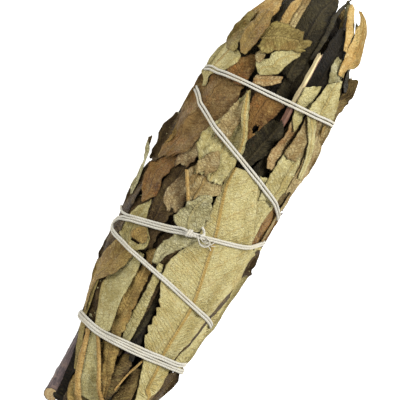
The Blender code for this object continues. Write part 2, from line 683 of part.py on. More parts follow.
def core_leaves(surface, ceiling, fill, end, way, rng):
    """Leaves that stand out of one end of the inner bunch, in rings, with pointed tips."""
    leaves = []
    share, taper = np.array(CORE_LEAF_ROWS)[:, None], np.array(CORE_LEAF_TAPER)[:, None]
    across = np.linspace(-1, 1, 3)[None, :]
    for share_out, count, shortest, longest in CORE_END_RINGS:
        turn = rng.uniform(0, 360)
        for k in range(count):
            length = rng.uniform(shortest, longest)
            x = end + way * (share * (length + CORE_LEAF_ROOT) - CORE_LEAF_ROOT) + 0 * across
            middle = turn + 360 * k / count + CORE_LEAF_TURNED * rng.uniform(-1, 1)
            packed = half_width(x) - PACKED_BELOW + fill[surface.cells(x, middle + 0 * x)]
            radius = share_out * packed + CORE_LEAF_MOVED * rng.uniform(-1, 1) - CORE_LEAF_ARCHED * across**2
            radius = np.maximum(radius, CORE_LEAF_LEAST_RADIUS)
            out = max(share_out * packed[:1].max(), CORE_LEAF_LEAST_REACH)
            spread = np.degrees(0.5 * CORE_LEAF_WIDTH * taper / out)
            angle = middle + across * spread
            radius = sink_below(ceiling, x, angle, radius, BLADE + GAP)
            points, triangles = blade_solid(x, angle, radius, BLADE)
            surface.add(facet_samples(to_space(x, angle, radius + BLADE)))
            leaves.append(Shape("core_leaf", points, triangles, "olive"))
    return leaves


def join_into(solid, parts):
    """Joins the parts into the solid, as one body, and removes them."""
    group = bpy.data.collections.new("parts_of_" + solid.name)
    bpy.context.scene.collection.children.link(group)
    for part in parts:
        bpy.context.scene.collection.objects.unlink(part)
        group.objects.link(part)
    join = solid.modifiers.new("join", "BOOLEAN")
    join.operation = "UNION"
    join.operand_type = "COLLECTION"
    join.collection = group
    join.solver = "EXACT"
    graph = bpy.context.evaluated_depsgraph_get()
    joined = bpy.data.meshes.new_from_object(solid.evaluated_get(graph))
    solid.modifiers.clear()
    solid.data = joined
    for part in parts:
        bpy.data.objects.remove(part)
    bpy.data.collections.remove(group)


def lay_twig(surface, name, start, end, radius):
    """A thin straight twig that lies on the leaves below it. start and end are (along, angle)."""
    share = np.linspace(0, 1, TWIG_SAMPLES)
    x = start[0] + (end[0] - start[0]) * share
    angle = start[1] + (end[1] - start[1]) * share
    below = np.array([surface.highest(x[k], angle[k], reach=4) for k in range(len(x))])
    low = below + LEAST_GAP + radius
    slope = np.polyfit(x, low, 1)
    rise = (low - np.polyval(slope, x)).max()
    line = to_space(x, angle, np.polyval(slope, x) + rise)[::TWIG_RING_EVERY]
    line = np.vstack([line, to_space(x[-1:], angle[-1:], np.polyval(slope, x[-1:]) + rise)])
    turn = math.radians(angle[0])
    out = np.broadcast_to([0, math.sin(turn), math.cos(turn)], line.shape)
    points, triangles = tube(line, line_frames(line, out), radius, TWIG_SIDES)
    rings = points.reshape(len(line), TWIG_SIDES, 3)
    for part in np.linspace(0, 1, TWIG_LAID_SAMPLES):
        surface.add(rings[:-1] * (1 - part) + rings[1:] * part)
    return Shape(name, points, triangles, "bark", smooth=True)


def string_path(route):
    """Distance along and angle at even steps of a smooth route, and its direction there, unrolled flat."""
    angle_given, x_given = (np.array(v, float) for v in zip(*route))
    fine = np.linspace(0, 1, ROUTE_POINTS)
    knots = np.linspace(0, 1, len(route))
    x = hermite(knots, x_given, np.gradient(x_given, knots), fine)
    angle = hermite(knots, angle_given, np.gradient(angle_given, knots), fine)
    points = to_space(x, angle, half_width(x))
    run = np.concatenate([[0], np.cumsum(np.linalg.norm(np.diff(points, axis=0), axis=1))])
    at = np.linspace(0, run[-1], int(run[-1] / STRING_STEP) + 1)
    x, angle = np.interp(at, run, x), np.interp(at, run, angle)
    slope = np.gradient(np.column_stack([x, np.radians(angle) * half_width(x)]), axis=0)
    slope /= np.linalg.norm(slope, axis=1)[:, None]
    return x, angle, slope


def drawn_tight(lowest):
    """The lowest line over a lower bound that a taut string could follow."""
    line = lowest.copy()
    for _ in range(TIGHTENING_ROUNDS):
        framed = np.pad(line, 2, mode="edge")
        mean = (framed[:-4] + framed[1:-3] + framed[2:-2] + framed[3:-1] + framed[4:]) / 5
        chord_inside_arc = STRING_STEP**2 / line
        line = np.maximum(lowest, mean - chord_inside_arc)
    return line


def string_lines(surface, route, offsets):
    """Lays strands side by side along a route, over the leaves and over the earlier turns it crosses."""
    x, angle, slope = string_path(route)
    reference = half_width(x)
    half_band = max(abs(o) for o in offsets) + STRING_RADIUS + BED_MARGIN
    beside = np.linspace(-half_band, half_band, BED_POINTS)
    side, forward = (g.ravel() for g in np.meshgrid(beside, np.linspace(-BED_AHEAD, BED_AHEAD, BED_POINTS)))
    near_x = x[:, None] + forward * slope[:, :1] - side * slope[:, 1:]
    near = angle[:, None] + np.degrees((forward * slope[:, 1:] + side * slope[:, :1]) / reference[:, None])
    over_leaves = surface.highest(near_x, near, reach=0).max(axis=1) + STRING_CLEAR + STRING_RADIUS
    flat = np.column_stack([x, np.radians(angle % 360) * reference])
    gap = np.abs(flat[:, None] - flat[None])
    gap[..., 1] = np.minimum(gap[..., 1], 2 * np.pi * reference[:, None] - gap[..., 1])
    steps = np.arange(len(x))
    meets = np.hypot(gap[..., 0], gap[..., 1]) < 2 * half_band + CROSSING_REACH
    earlier = meets & (steps[None] < steps[:, None] - CROSSING_APART)
    lowest = over_leaves
    for _ in range(CROSSING_ROUNDS):
        radius = drawn_tight(lowest)
        under = np.where(earlier, radius[None], 0).max(axis=1)
        lowest = np.maximum(over_leaves, under + 2 * STRING_RADIUS + STRING_CLEAR)
    radius = drawn_tight(lowest)
    lines = []
    for offset in offsets:
        moved_x = x - offset * slope[:, 1]
        moved = angle + np.degrees(offset * slope[:, 0] / reference)
        for part in np.linspace(-1, 1, 5):
            aside = part * STRING_RADIUS
            place_x = moved_x - aside * slope[:, 1]
            place = moved + np.degrees(aside * slope[:, 0] / reference)
            surface.add(to_space(place_x, place, radius + STRING_RADIUS))
        lines.append((moved_x, moved, radius))
    return lines


def strand(x, angle, radius):
    """A strand of the string, with a point every few steps of its line."""
    pick = np.unique(np.append(np.arange(0, len(x), STRING_POINT_EVERY), len(x) - 1))
    line = to_space(x[pick], angle[pick], radius[pick])
    frames = line_frames(line, outward_at(x[pick], angle[pick], radius[pick]))
    points, triangles = tube(line, frames, STRING_RADIUS, STRING_SIDES)
    return Shape("strand", points, triangles, "string")


def knot(radius):
    """The knot: a small ball with wound ridges, over the strands."""
    turns, bands = KNOT_TURNS, KNOT_BANDS
    centre = to_space(*KNOT, radius)
    out = outward_at(*KNOT, radius)
    ahead = np.array(KNOT_AHEAD)
    ahead -= out * (out @ ahead)
    ahead /= np.linalg.norm(ahead)
    beside = np.cross(out, ahead)
    points = []
    for i in range(1, bands):
        tilt = math.pi * i / bands
        for k in range(turns):
            turn = 2 * math.pi * k / turns
            ridge = 1 + KNOT_RIDGE * math.cos(KNOT_RIDGES * turn + KNOT_RIDGE_LEAN * tilt) * math.sin(tilt)
            size = np.array(KNOT_SIZE) * ridge
            points.append(
                centre
                + ahead * size[0] * math.cos(tilt)
                + beside * size[1] * math.sin(tilt) * math.cos(turn)
                + out * size[2] * math.sin(tilt) * math.sin(turn)
            )
    points.append(centre + ahead * KNOT_SIZE[0])
    points.append(centre - ahead * KNOT_SIZE[0])
    first, last = len(points) - 2, len(points) - 1
    triangles = []
    for i in range(bands - 2):
        for k in range(turns):
            a, b = i * turns + k, i * turns + (k + 1) % turns
            triangles += [(a, b, b + turns), (a, b + turns, a + turns)]
    for k in range(turns):
        nxt = (k + 1) % turns
        triangles.append((first, nxt, k))
        triangles.append((last, (bands - 2) * turns + k, (bands - 2) * turns + nxt))
    return np.array(points), triangles


def loose_end(surface, path, start_radius):
    """A short free end of string from the knot, lying on the leaves."""
    share = np.linspace(0, 1, LOOSE_END_POINTS * len(path))
    x, angle = along_path(path, share).T
    radius = surface.highest(x, angle, reach=3) + STRING_RADIUS + LOOSE_END_CLEAR
    radius = start_radius + (radius - start_radius) * np.clip(share * DOWN_FROM_KNOT, 0, 1)
    line = to_space(x, angle, radius)
    frames = line_frames(line, outward_at(x, angle, radius))
    points, triangles = tube(line, frames, STRING_RADIUS, STRING_SIDES)
    return Shape("loose_end", points, triangles, "string")


def lay_string(surface):
    """The doubled string, its knot and its loose ends, joined in one body."""
    lines = string_lines(surface, STRING_ROUTE, (-STRAND_PITCH / 2, STRAND_PITCH / 2))
    knot_radius = lines[0][2][-1]
    parts = [strand(*line) for line in lines]
    x, angle, radius = string_lines(surface, [(a, x) for x, a in EXTRA_STRAND], (0.0,))[0]
    from_knot = np.clip(np.arange(len(radius)) / EXTRA_FROM_KNOT, 0, 1)
    parts.append(strand(x, angle, knot_radius + (radius - knot_radius) * from_knot))
    parts += [loose_end(surface, path, knot_radius) for path in TAILS]
    points, triangles = knot(knot_radius)
    return Shape("string", points, triangles, "string", smooth=True, parts=parts)


def lay_bunch(surface, fill):
    """The shapes of the stems and leaves, laid on an empty surface. fill moves the packed inside out."""
    ceiling = LaidSurface(empty=np.inf)
    shapes = [lay_stem(surface, ceiling, f"stem_{n}", stem) for n, stem in enumerate(STEMS, 1)]
    shapes.append(lay_core(surface, ceiling, fill))
    for number, leaf in enumerate(LEAVES, 1):
        shapes.append(lay_leaf(surface, fill, f"leaf_{number:02d}_{leaf.look}", leaf, seed=number))
        if number == LEAVES_UNDER_TWIG:
            shapes.append(lay_twig(surface, "twig", *TWIG))
    for name, leaf, rows, stretches in RESTING_LEAVES:
        shares = (np.array(rows, float) - rows[0]) / (rows[-1] - rows[0])
        shapes.append(lay_leaf(surface, fill, name, leaf, RESTING_SEED, shares, stretches))
    return shapes


def build():
    for old in list(bpy.data.objects):
        bpy.data.objects.remove(old)
    fill = np.zeros((LaidSurface().count, ROUND_STEPS))
    for _ in range(2):
        tried = LaidSurface()
        lay_bunch(tried, fill)
        fill = np.clip(fill + tried.missing(), LEAST_FILL, MOST_FILL)
    surface = LaidSurface()
    shapes = lay_bunch(surface, fill)
    shapes.append(lay_string(surface))
    for shape in shapes:
        add_solid(shape)


build()
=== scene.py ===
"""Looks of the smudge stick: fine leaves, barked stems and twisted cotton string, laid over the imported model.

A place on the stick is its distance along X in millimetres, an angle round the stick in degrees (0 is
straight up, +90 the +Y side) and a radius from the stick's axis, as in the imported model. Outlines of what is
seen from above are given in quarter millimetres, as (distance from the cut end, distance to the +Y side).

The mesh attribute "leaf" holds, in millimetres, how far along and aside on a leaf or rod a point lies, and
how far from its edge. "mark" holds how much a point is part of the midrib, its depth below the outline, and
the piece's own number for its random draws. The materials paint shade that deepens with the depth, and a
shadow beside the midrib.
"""

import math
from dataclasses import dataclass

import bpy
import numpy as np
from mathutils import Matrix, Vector
from mathutils.bvhtree import BVHTree


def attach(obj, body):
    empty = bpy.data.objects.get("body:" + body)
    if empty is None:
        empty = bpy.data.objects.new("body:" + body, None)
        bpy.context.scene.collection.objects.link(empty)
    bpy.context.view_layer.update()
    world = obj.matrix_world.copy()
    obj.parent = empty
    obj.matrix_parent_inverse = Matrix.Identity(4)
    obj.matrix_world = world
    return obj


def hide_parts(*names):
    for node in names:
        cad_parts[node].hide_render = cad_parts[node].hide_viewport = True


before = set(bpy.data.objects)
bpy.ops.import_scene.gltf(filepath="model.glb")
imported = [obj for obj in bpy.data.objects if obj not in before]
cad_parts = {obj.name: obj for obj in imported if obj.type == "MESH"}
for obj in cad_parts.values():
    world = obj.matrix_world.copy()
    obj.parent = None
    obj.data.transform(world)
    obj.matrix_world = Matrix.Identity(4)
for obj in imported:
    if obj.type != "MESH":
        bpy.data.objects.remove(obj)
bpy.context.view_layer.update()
MM = 0.001

# The stick's outline, as in the model: half its width, and how far its axis lies to the +Y side.
HALF_WIDTH = [
    (-75, 11.0), (-60, 12.0), (-52, 12.8), (-40, 14.3), (-27, 16.6), (-15, 17.6), (-2, 18.2),
    (22, 17.9), (33, 17.3), (42, 16.4), (48, 15.2), (55, 12.8), (62, 9.0), (75, 4.5),
]
SIDE_SHIFT = [
    (-75, -0.3), (-52, -0.7), (-40, -0.5), (-27, 0.1), (-2, 0.4), (22, -0.8), (42, -1.6), (75, -2.2),
]
WIDEST = 18.2
SMOOTHED_OVER = 5.0
PROFILE_END, PROFILE_STEP = 80.0, 0.5
FLATTENING = 0.93
FLAT_SHARE = 0.95
BELOW_OUTLINE = 2.2

# Where the outlines' quarter millimetres are counted from.
OUTLINE_ORIGIN = (210, 8.5)

# Fine leaves: spacing of their points, thickness, and the space kept over what they lie on.
STEP = 0.45
HIDDEN_STEP = 0.92
THICK = 0.24
THIN_EDGE = 0.10
SPACE = 0.08
BELOW_MODEL = 0.45
FLOOR_GAP = 0.02
FAR_OFF = 99.0

# The grid on which the laid surface is kept.
GRID_STEP = 0.25
GRID_LOW, GRID_HIGH = -72.0, 72.0
ROUND_STEPS = 720
LAID_FINER = 3

# Outlines are unrolled this far beyond the stick's own, and a blade reaches round the sides to this sine.
BEYOND_OUTLINE = 2.0
STEEPEST = 0.985
MOST_OVERHANG = 2.5

# At the sides, what stands further out than this much inside the outline is pressed in by this share.
SIDE_MARGIN = 0.3
SIDE_SHARE = 0.75

# Over this depth below the outline the leaves above and beside are pressed closer than in the model.
PACKED_DEPTH = 1.3
PACKED_SHARE = 0.35

# The string: its strands, the turn of their plies, and how far and wide it presses the leaves in.
STRING_RADIUS = 0.32
STRAND_PITCH = 0.62
STRING_STEP = 0.5
ROUTE_POINTS = 4000
STRING_FINE_STEP = 0.26
STRING_SIDES = 12
STRING_CLEAR = 0.06
PLY_LENGTH = 1.7
PLY_NARROW, PLY_LOBE = 0.86, 0.16
PRESSED_IN = 0.75
PRESSED_REACH = 2.0

# Each stem's cut end and hidden end, as places on the stick, and its radius there.
STEMS = [
    ((-59.5, 68, 12.5), (-6, 76, 11.2), 1.9, 1.4),
    ((-61.0, 39, 10.6), (-10, 41, 9.8), 1.4, 1.0),
    ((-54.0, -3, 10.8), (-8, -5, 12.4), 1.45, 1.2),
    ((-58.5, -29, 9.4), (-6, -28, 9.8), 1.2, 0.9),
    ((-60.5, -74, 9.8), (-2, -71, 10.2), 1.6, 1.1),
    ((-63.0, -121, 9.3), (4, -117, 10.0), 1.8, 1.2),
    ((-64.5, 166, 9.1), (-4, 164, 9.8), 1.6, 1.1),
    ((-58.0, 114, 9.7), (0, 117, 9.8), 1.4, 1.0),
]

# The string's way round the stick, as (angle, distance along).
STRING_ROUTE = [
    (-2, -7.6), (16, -9.3), (34, -10.5), (56, -11.8), (80, -13.6), (180, -25.0), (270, -36.0),
    (325, -38.2), (360, -38.9), (395, -39.5), (420, -38.7), (450, -37.9), (540, -38.0), (630, -38.6),
    (685, -39.6), (720, -40.2), (755, -40.3), (780, -39.4), (810, -38.3), (900, -33.5), (990, -26.0),
    (1035, -23.4), (1080, -20.6), (1126, -17.6), (1165, -14.9), (1260, -4.5), (1350, 5.4),
    (1386, 9.5), (1430, 14.4), (1465, 18.6), (1492, 21.7), (1530, 25.8), (1620, 30.0), (1710, 33.4),
    (1760, 33.2), (1800, 32.5), (1832, 32.0), (1855, 31.4), (1890, 29.6), (1980, 15.5), (2070, 0.8),
    (2090, -1.7), (2110, -4.1), (2140, -6.2), (2158, -7.4),
]
# The third strand beside the middle turn and the knot, as (distance along, angle), and the loose ends, as
# (places on the outline's scale, radius).
EXTRA_STRAND = [
    (-7.3, -1), (-7.2, 5), (-8.3, 16), (-9.5, 34), (-10.6, 52), (-11.0, 62), (-10.8, 72), (-9.8, 84),
]
KNOT = (-7.5, -1.0)
KNOT_TURNS = 2.6
LOOSE_ENDS = [
    ([(183, -2), (186, -5), (189, -4), (191.5, 0)], 0.34),
    ([(182, 0), (178, -3), (175, -8), (175.5, -13), (179, -16), (183, -14), (184, -9)], 0.16),
    ([(181, 1), (177, -5), (176, -11), (178, -15), (177, -19), (175, -22)], 0.13),
    ([(181, -3), (179, -9), (180, -15), (182, -19), (186, -20)], 0.11),
    ([(180, -8), (181, -14), (179.5, -20), (181, -24)], 0.10),
]
# Which loose end stands off as a loop, and by how much.
LOOP, LOOP_HIGH = 1, 0.6

# The strands draw apart over the first of these spans of the route's angle, and together over the second.
APART_FROM, APART_TO = (1290, 1390), (1880, 1960)

# The share of the leaves under the string that lie below its bed.
BED_SHARE = 0.85

# Stray fibres on each strand, with their radius and their least and greatest length.
FIBRES = 130
FIBRE_RADIUS = 0.022
FIBRE_LENGTHS = (0.4, 1.3)

# Sides of a stem or twig; stems with a slanting end, with brown bark, and with a grey cut face.
ROD_SIDES = 24
SLANTING_STEMS, BROWN_STEMS, GREY_STEMS = (1, 2, 3), (1, 2, 5, 6, 8), (3, 4)


def smooth_profile(stations):
    """A smooth function through a few (distance along, value) stations."""
    along = np.arange(-PROFILE_END, PROFILE_END + PROFILE_STEP, PROFILE_STEP)
    raw = np.interp(along, *zip(*stations))
    reach = int(SMOOTHED_OVER / PROFILE_STEP)
    kernel = np.hanning(2 * reach + 3)
    padded = np.pad(raw, reach + 1, mode="edge")
    smooth = np.convolve(padded, kernel / kernel.sum(), mode="valid")
    return lambda x: np.interp(x, along, smooth)


half_width = smooth_profile(HALF_WIDTH)
side_shift = smooth_profile(SIDE_SHIFT)


def bottom_radius(x):
    return 0.5 * (half_width(x) + WIDEST) + BELOW_OUTLINE


def flattened(angle):
    """How much the section is drawn in at an angle, so that it is flat underneath."""
    down = np.maximum(-np.cos(np.radians(angle)), 1e-6)
    return np.minimum(1.0, FLAT_SHARE / down)


def to_space(x, angle, radius):
    """The point, in millimetres, at a place on the stick."""
    x, angle, radius = np.broadcast_arrays(x, angle, radius)
    drawn = radius * flattened(angle)
    turn = np.radians(angle)
    height = FLATTENING * FLAT_SHARE * bottom_radius(x)
    return np.stack(
        [x, side_shift(x) + drawn * np.sin(turn), height + FLATTENING * drawn * np.cos(turn)], axis=-1
    )


def from_space(points):
    """The distance along, angle and radius of points in millimetres."""
    x = points[..., 0]
    across = points[..., 1] - side_shift(x)
    up = (points[..., 2] - FLATTENING * FLAT_SHARE * bottom_radius(x)) / FLATTENING
    angle = np.degrees(np.arctan2(across, up))
    return x, angle, np.hypot(across, up) / flattened(angle)


def outline(*places):
    """Points in millimetres from places in quarter millimetres."""
    return [((s - OUTLINE_ORIGIN[0]) / 4, (t - OUTLINE_ORIGIN[1]) / 4) for s, t in places]


def angle_seen(aside, radius, steepest=STEEPEST):
    """The angle at which a place of this radius lies so far aside of the axis, seen from above."""
    return np.degrees(np.arcsin(np.clip(aside / radius, -steepest, steepest)))


def side_share(angle):
    """The share by which a bulge past the outline is pressed in: it grows towards the stick's sides."""
    return SIDE_SHARE * smooth_step(np.sin(np.radians(angle)) ** 2, 0.3, 0.85)


def pressed_in(x, angle, radius):
    """A radius as it ends up where the tight string packs the stick's sides."""
    return radius - side_share(angle) * np.maximum(radius - half_width(x) + SIDE_MARGIN, 0)


def hermite(knots, values, slopes, at):
    """Cubic through values with the given slopes."""
    i = np.clip(np.searchsorted(knots, at, side="right") - 1, 0, len(knots) - 2)
    h = knots[i + 1] - knots[i]
    t = (at - knots[i]) / h
    rise = (3 - 2 * t) * t * t
    return (
        values[i] * (1 - rise)
        + values[i + 1] * rise
        + h * (slopes[i] * (t - 2 * t * t + t**3) + slopes[i + 1] * (t**3 - t * t))
    )


def along_points(points, share, smooth=True):
    """Points at shares of the length of a line through a few given ones."""
    given = np.array(points, float)
    knots = run_along(given)
    knots = knots / knots[-1]
    if len(given) == 2 or not smooth:
        return np.column_stack([np.interp(share, knots, given[:, k]) for k in range(given.shape[1])])
    slope = np.gradient(given, knots, axis=0)
    return np.column_stack([hermite(knots, given[:, k], slope[:, k], share) for k in range(given.shape[1])])


def noise(u, v, size, seed):
    """Smooth value noise between -1 and 1, with features of the given size."""
    rng = np.random.default_rng(seed)
    lattice = rng.uniform(-1, 1, (64, 64))
    a, b = np.asarray(u) / size + 1000, np.asarray(v) / size + 1000
    i, j = np.floor(a).astype(int), np.floor(b).astype(int)
    p, q = a - i, b - j
    p, q = p * p * (3 - 2 * p), q * q * (3 - 2 * q)
    i, j, i2, j2 = i % 64, j % 64, (i + 1) % 64, (j + 1) % 64
    low = lattice[i, j] * (1 - p) + lattice[i2, j] * p
    high = lattice[i, j2] * (1 - p) + lattice[i2, j2] * p
    return low * (1 - q) + high * q


def smooth_step(value, low, high):
    """0 below low, 1 above high, smooth between."""
    t = np.clip((value - low) / (high - low), 0, 1)
    return t * t * (3 - 2 * t)


class LaidSurface:
    """The radius of what has been laid so far, on a grid along and round the stick."""

    def __init__(self):
        self.count = int((GRID_HIGH - GRID_LOW) / GRID_STEP) + 1
        self.along = GRID_LOW + GRID_STEP * np.arange(self.count)
        self.radius = np.zeros((self.count, ROUND_STEPS))

    def cells(self, x, angle):
        row = np.clip(np.rint((x - GRID_LOW) / GRID_STEP).astype(int), 0, self.count - 1)
        column = np.rint(angle * ROUND_STEPS / 360).astype(int) % ROUND_STEPS
        return row, column

    def add(self, x, angle, radius):
        np.maximum.at(self.radius, self.cells(x.ravel(), angle.ravel()), radius.ravel())

    def spread(self, steps_along, steps_round):
        """A copy in which each cell holds the largest radius within reach."""
        wide = self.radius.copy()
        for axis, steps in ((0, steps_along), (1, steps_round)):
            source = wide.copy()
            for k in range(1, steps + 1):
                wide = np.maximum(wide, shifted(source, k, axis))
                wide = np.maximum(wide, shifted(source, -k, axis))
        return wide


def shifted(grid, steps, axis):
    """The grid moved along the stick, its end row repeated, or turned round it."""
    if axis == 1:
        return np.roll(grid, steps, axis=1)
    moved = np.roll(grid, steps, axis=0)
    if steps > 0:
        moved[:steps] = grid[0]
    else:
        moved[steps:] = grid[-1]
    return moved


def sum_beside(framed):
    """The sum of each cell's four neighbours, for a grid with a frame of one cell round it."""
    return framed[:-2, 1:-1] + framed[2:, 1:-1] + framed[1:-1, :-2] + framed[1:-1, 2:]


def blurred(field, times):
    """A grid averaged with its neighbours, this many times."""
    for _ in range(times):
        field = 0.5 * field + 0.125 * sum_beside(np.pad(field, 1, mode="edge"))
    return field


def run_along(line):
    """How far along a line each of its points lies."""
    return np.concatenate([[0], np.cumsum(np.linalg.norm(np.diff(line, axis=0), axis=1))])


def unit(vectors):
    """Vectors of length 1 in the same directions."""
    return vectors / np.maximum(np.linalg.norm(vectors, axis=-1, keepdims=True), 1e-9)


def turns_of(sides):
    """The angles of a ring's points, in radians."""
    return 2 * np.pi * np.arange(sides) / sides


# The string's way


def string_path(route):
    """Distance along and angle at even steps of a smooth route, and its direction there, unrolled flat."""
    angle_given, x_given = (np.array(v, float) for v in zip(*route))
    fine = np.linspace(0, 1, ROUTE_POINTS)
    knots = np.linspace(0, 1, len(route))
    x = hermite(knots, x_given, np.gradient(x_given, knots), fine)
    angle = hermite(knots, angle_given, np.gradient(angle_given, knots), fine)
    points = to_space(x, angle, half_width(x))
    run = run_along(points)
    at = np.linspace(0, run[-1], int(run[-1] / STRING_STEP) + 1)
    x, angle = np.interp(at, run, x), np.interp(at, run, angle)
    slope = np.gradient(np.column_stack([x, np.radians(angle) * half_width(x)]), axis=0)
    return x, angle, unit(slope)


def press_field(surface):
    """How far the string presses the leaves in, on the surface's grid."""
    nearest = np.full(surface.radius.shape, FAR_OFF)
    x, angle, _ = string_path(STRING_ROUTE)
    reach = int(3 * PRESSED_REACH / GRID_STEP)
    offsets = np.arange(-reach, reach + 1)
    for px, pa in zip(x, angle):
        row, column = surface.cells(np.array(px), np.array(pa))
        rows = np.clip(row + offsets, 0, surface.count - 1)
        around = math.radians(360 / ROUND_STEPS) * half_width(px)
        turn = int(3 * PRESSED_REACH / around)
        columns = np.arange(-turn, turn + 1)
        distance = np.hypot((offsets * GRID_STEP)[:, None], (columns * around)[None])
        patch = np.ix_(rows, (column + columns) % ROUND_STEPS)
        nearest[patch] = np.minimum(nearest[patch], distance)
    return PRESSED_IN * np.exp(-((nearest / PRESSED_REACH) ** 2))


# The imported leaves' levels

# Steps of a level's grid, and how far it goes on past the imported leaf's edges.
GUIDE_STEP_X, GUIDE_STEP_ANGLE = 0.75, 2.0
GUIDE_PAST_X, GUIDE_PAST_ANGLE = 6.0, 24.0
RAY_FROM, RAY_TO = 30.0, 1.0


def guide_of(node):
    """A function that gives a packed leaf's outer radius at any place, carried on past its edges."""
    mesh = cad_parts[node].data
    points = np.array([v.co for v in mesh.vertices]) / MM
    tree = BVHTree.FromPolygons([Vector(p) for p in points], [tuple(p.vertices) for p in mesh.polygons])
    x, angle, _ = from_space(points)
    middle = math.degrees(math.atan2(np.sin(np.radians(angle)).mean(), np.cos(np.radians(angle)).mean()))
    turned = (angle - middle + 180) % 360 - 180
    xs = np.arange(x.min() - GUIDE_PAST_X, x.max() + GUIDE_PAST_X + 0.01, GUIDE_STEP_X)
    past_end = turned.max() + GUIDE_PAST_ANGLE + 0.01
    angles = np.arange(turned.min() - GUIDE_PAST_ANGLE, past_end, GUIDE_STEP_ANGLE) + middle
    far = to_space(xs[:, None], angles[None, :], RAY_FROM)
    near = to_space(xs[:, None], angles[None, :], RAY_TO)
    value = np.zeros((len(xs), len(angles)))
    known = np.zeros(value.shape, bool)
    for i in np.flatnonzero((xs > x.min() - 0.5) & (xs < x.max() + 0.5)):
        for j in range(len(angles)):
            start, way = Vector(far[i, j]), Vector(near[i, j] - far[i, j])
            hit = tree.ray_cast(start, way.normalized(), way.length)[0]
            if hit is not None:
                value[i, j], known[i, j] = from_space(np.array(hit))[2], True
    while not known.all():
        framed, weight = np.pad(value * known, 1), np.pad(known.astype(float), 1)
        near_sum, near_count = sum_beside(framed), sum_beside(weight)
        new = ~known & (near_count > 0)
        value[new] = near_sum[new] / near_count[new]
        known |= new
    value = blurred(value, 3)

    def at(px, pangle):
        a = np.clip((px - xs[0]) / GUIDE_STEP_X, 0, len(xs) - 1.001)
        t = (pangle - middle + 180) % 360 - 180 + middle
        b = np.clip((t - angles[0]) / GUIDE_STEP_ANGLE, 0, len(angles) - 1.001)
        i, j = a.astype(int), b.astype(int)
        p, q = a - i, b - j
        low = value[i, j] * (1 - p) + value[i + 1, j] * p
        high = value[i, j + 1] * (1 - p) + value[i + 1, j + 1] * p
        level = low * (1 - q) + high * q
        packed = half_width(px) - PACKED_DEPTH
        closer = (1 - PACKED_SHARE) * np.maximum(level - packed, 0)
        return level - closer * smooth_step(np.cos(np.radians(pangle)), -0.6, -0.2) - BELOW_MODEL

    return at


@dataclass
class Blade:
    """One leaf or scrap. Its edges run from base to tip; or it has a path, as (x, angle), and a width.

    Edges, midrib and holes are outlines, in quarter millimetres; heights and lengths are in millimetres.
    base, tip and widest shape a blade that has a path: its half-widths there over the widest, and the share
    of the path at which it is widest.
    """

    node: str
    look: str
    upper: list = None
    lower: list = None
    midrib: list = None
    path: list = None
    width: float = 0.0
    base: float = 0.12
    tip: float = 0.05
    widest: float = 0.45
    rib: float = 0.5
    rib_high: float = 0.24
    rib_wide: float = 0.28
    veins: float = 4.5
    teeth: float = 0.0
    tooth_length: float = 2.5
    tear: float = 0.0
    ragged: float = 0.14
    ruffle: float = 0.15
    ruffle_length: float = 7.0
    crease: float = 0.25
    pleats: tuple = ()
    curl_upper: float = 0.3
    curl_lower: float = 0.3
    tip_lift: float = 0.0
    base_lift: float = 0.0
    lift: float = 0.0
    holes: tuple = ()
    seed: int = 0
    hidden: bool = False


def taper(blade, share):
    """Half-width of a blade given by its path, at shares of its length."""
    toward_base = np.sin(0.5 * np.pi * np.clip(share / blade.widest, 0, 1)) ** 0.9
    toward_tip = np.cos(0.5 * np.pi * np.clip((share - blade.widest) / (1 - blade.widest), 0, 1)) ** 0.9
    lower = blade.base + (1 - blade.base) * toward_base
    upper = blade.tip + (1 - blade.tip) * toward_tip
    return 0.5 * blade.width * np.where(share < blade.widest, lower, upper)


def unrolled_radius(blade, x):
    """The radius at which a blade is laid flat."""
    return half_width(x) + (BEYOND_OUTLINE if blade.path is None else -1.0)


def blade_lines(blade, share):
    """The lower edge, the midrib and the upper edge of a blade, unrolled flat, in millimetres."""
    if blade.path is None:
        lines = []
        for given in (blade.lower, blade.midrib, blade.upper):
            if given is None:
                lines.append(None)
                continue
            x, y = along_points(outline(*given), share, smooth=given is blade.midrib).T
            radius = unrolled_radius(blade, x)
            turn = np.radians(angle_seen(y - side_shift(x), radius, 1.0))
            lines.append(np.column_stack([x, turn * radius]))
        low, rib, high = lines
        return low, low + (high - low) * blade.rib if rib is None else rib, high
    x, angle = along_points(blade.path, share).T
    flat = np.column_stack([x, np.radians(angle) * unrolled_radius(blade, x)])
    direction = unit(np.gradient(flat, share, axis=0))
    across = np.column_stack([-direction[:, 1], direction[:, 0]]) * taper(blade, share)[:, None]
    return flat - across, flat + across * (2 * blade.rib - 1), flat + across


def edge_moved(blade, run, side, seed):
    """How far an edge is moved outwards, in millimetres: teeth, then small tears."""
    saw = (run / blade.tooth_length + 0.3 * side + 0.2 * noise(run, 0, 4.0, seed)) % 1.0
    bite = np.where(saw < 0.7, saw / 0.7, (1 - saw) / 0.3)
    rough = noise(run, 3.0 * side, 1.3, seed + 1) + 0.7 * noise(run, 9, 0.6, seed + 2)
    broad = noise(run, 17.0 * side, 5.0, seed + 3)
    return blade.teeth * (bite - 0.6) + blade.ragged * (rough + 1.2 * broad)


class Pieces:
    """Collects the faces of one mesh object, with their materials and attributes."""

    def __init__(self):
        self.points, self.faces, self.slots, self.leaf, self.mark = [], [], [], [], []
        self.materials = []
        self.count = 0

    def slot(self, made):
        if made not in self.materials:
            self.materials.append(made)
        return self.materials.index(made)

    def add(self, points, groups, leaf, mark):
        """groups holds (faces, material) pairs; the others are grids of three numbers a point."""
        points, leaf, mark = (np.reshape(grid, (-1, 3)) for grid in (points, leaf, mark))
        self.points.append(points)
        self.leaf.append(leaf)
        self.mark.append(mark)
        for faces, made in groups:
            if len(faces):
                self.faces.append(np.asarray(faces) + self.count)
                self.slots.append(np.full(len(faces), self.slot(made)))
        self.count += len(points)


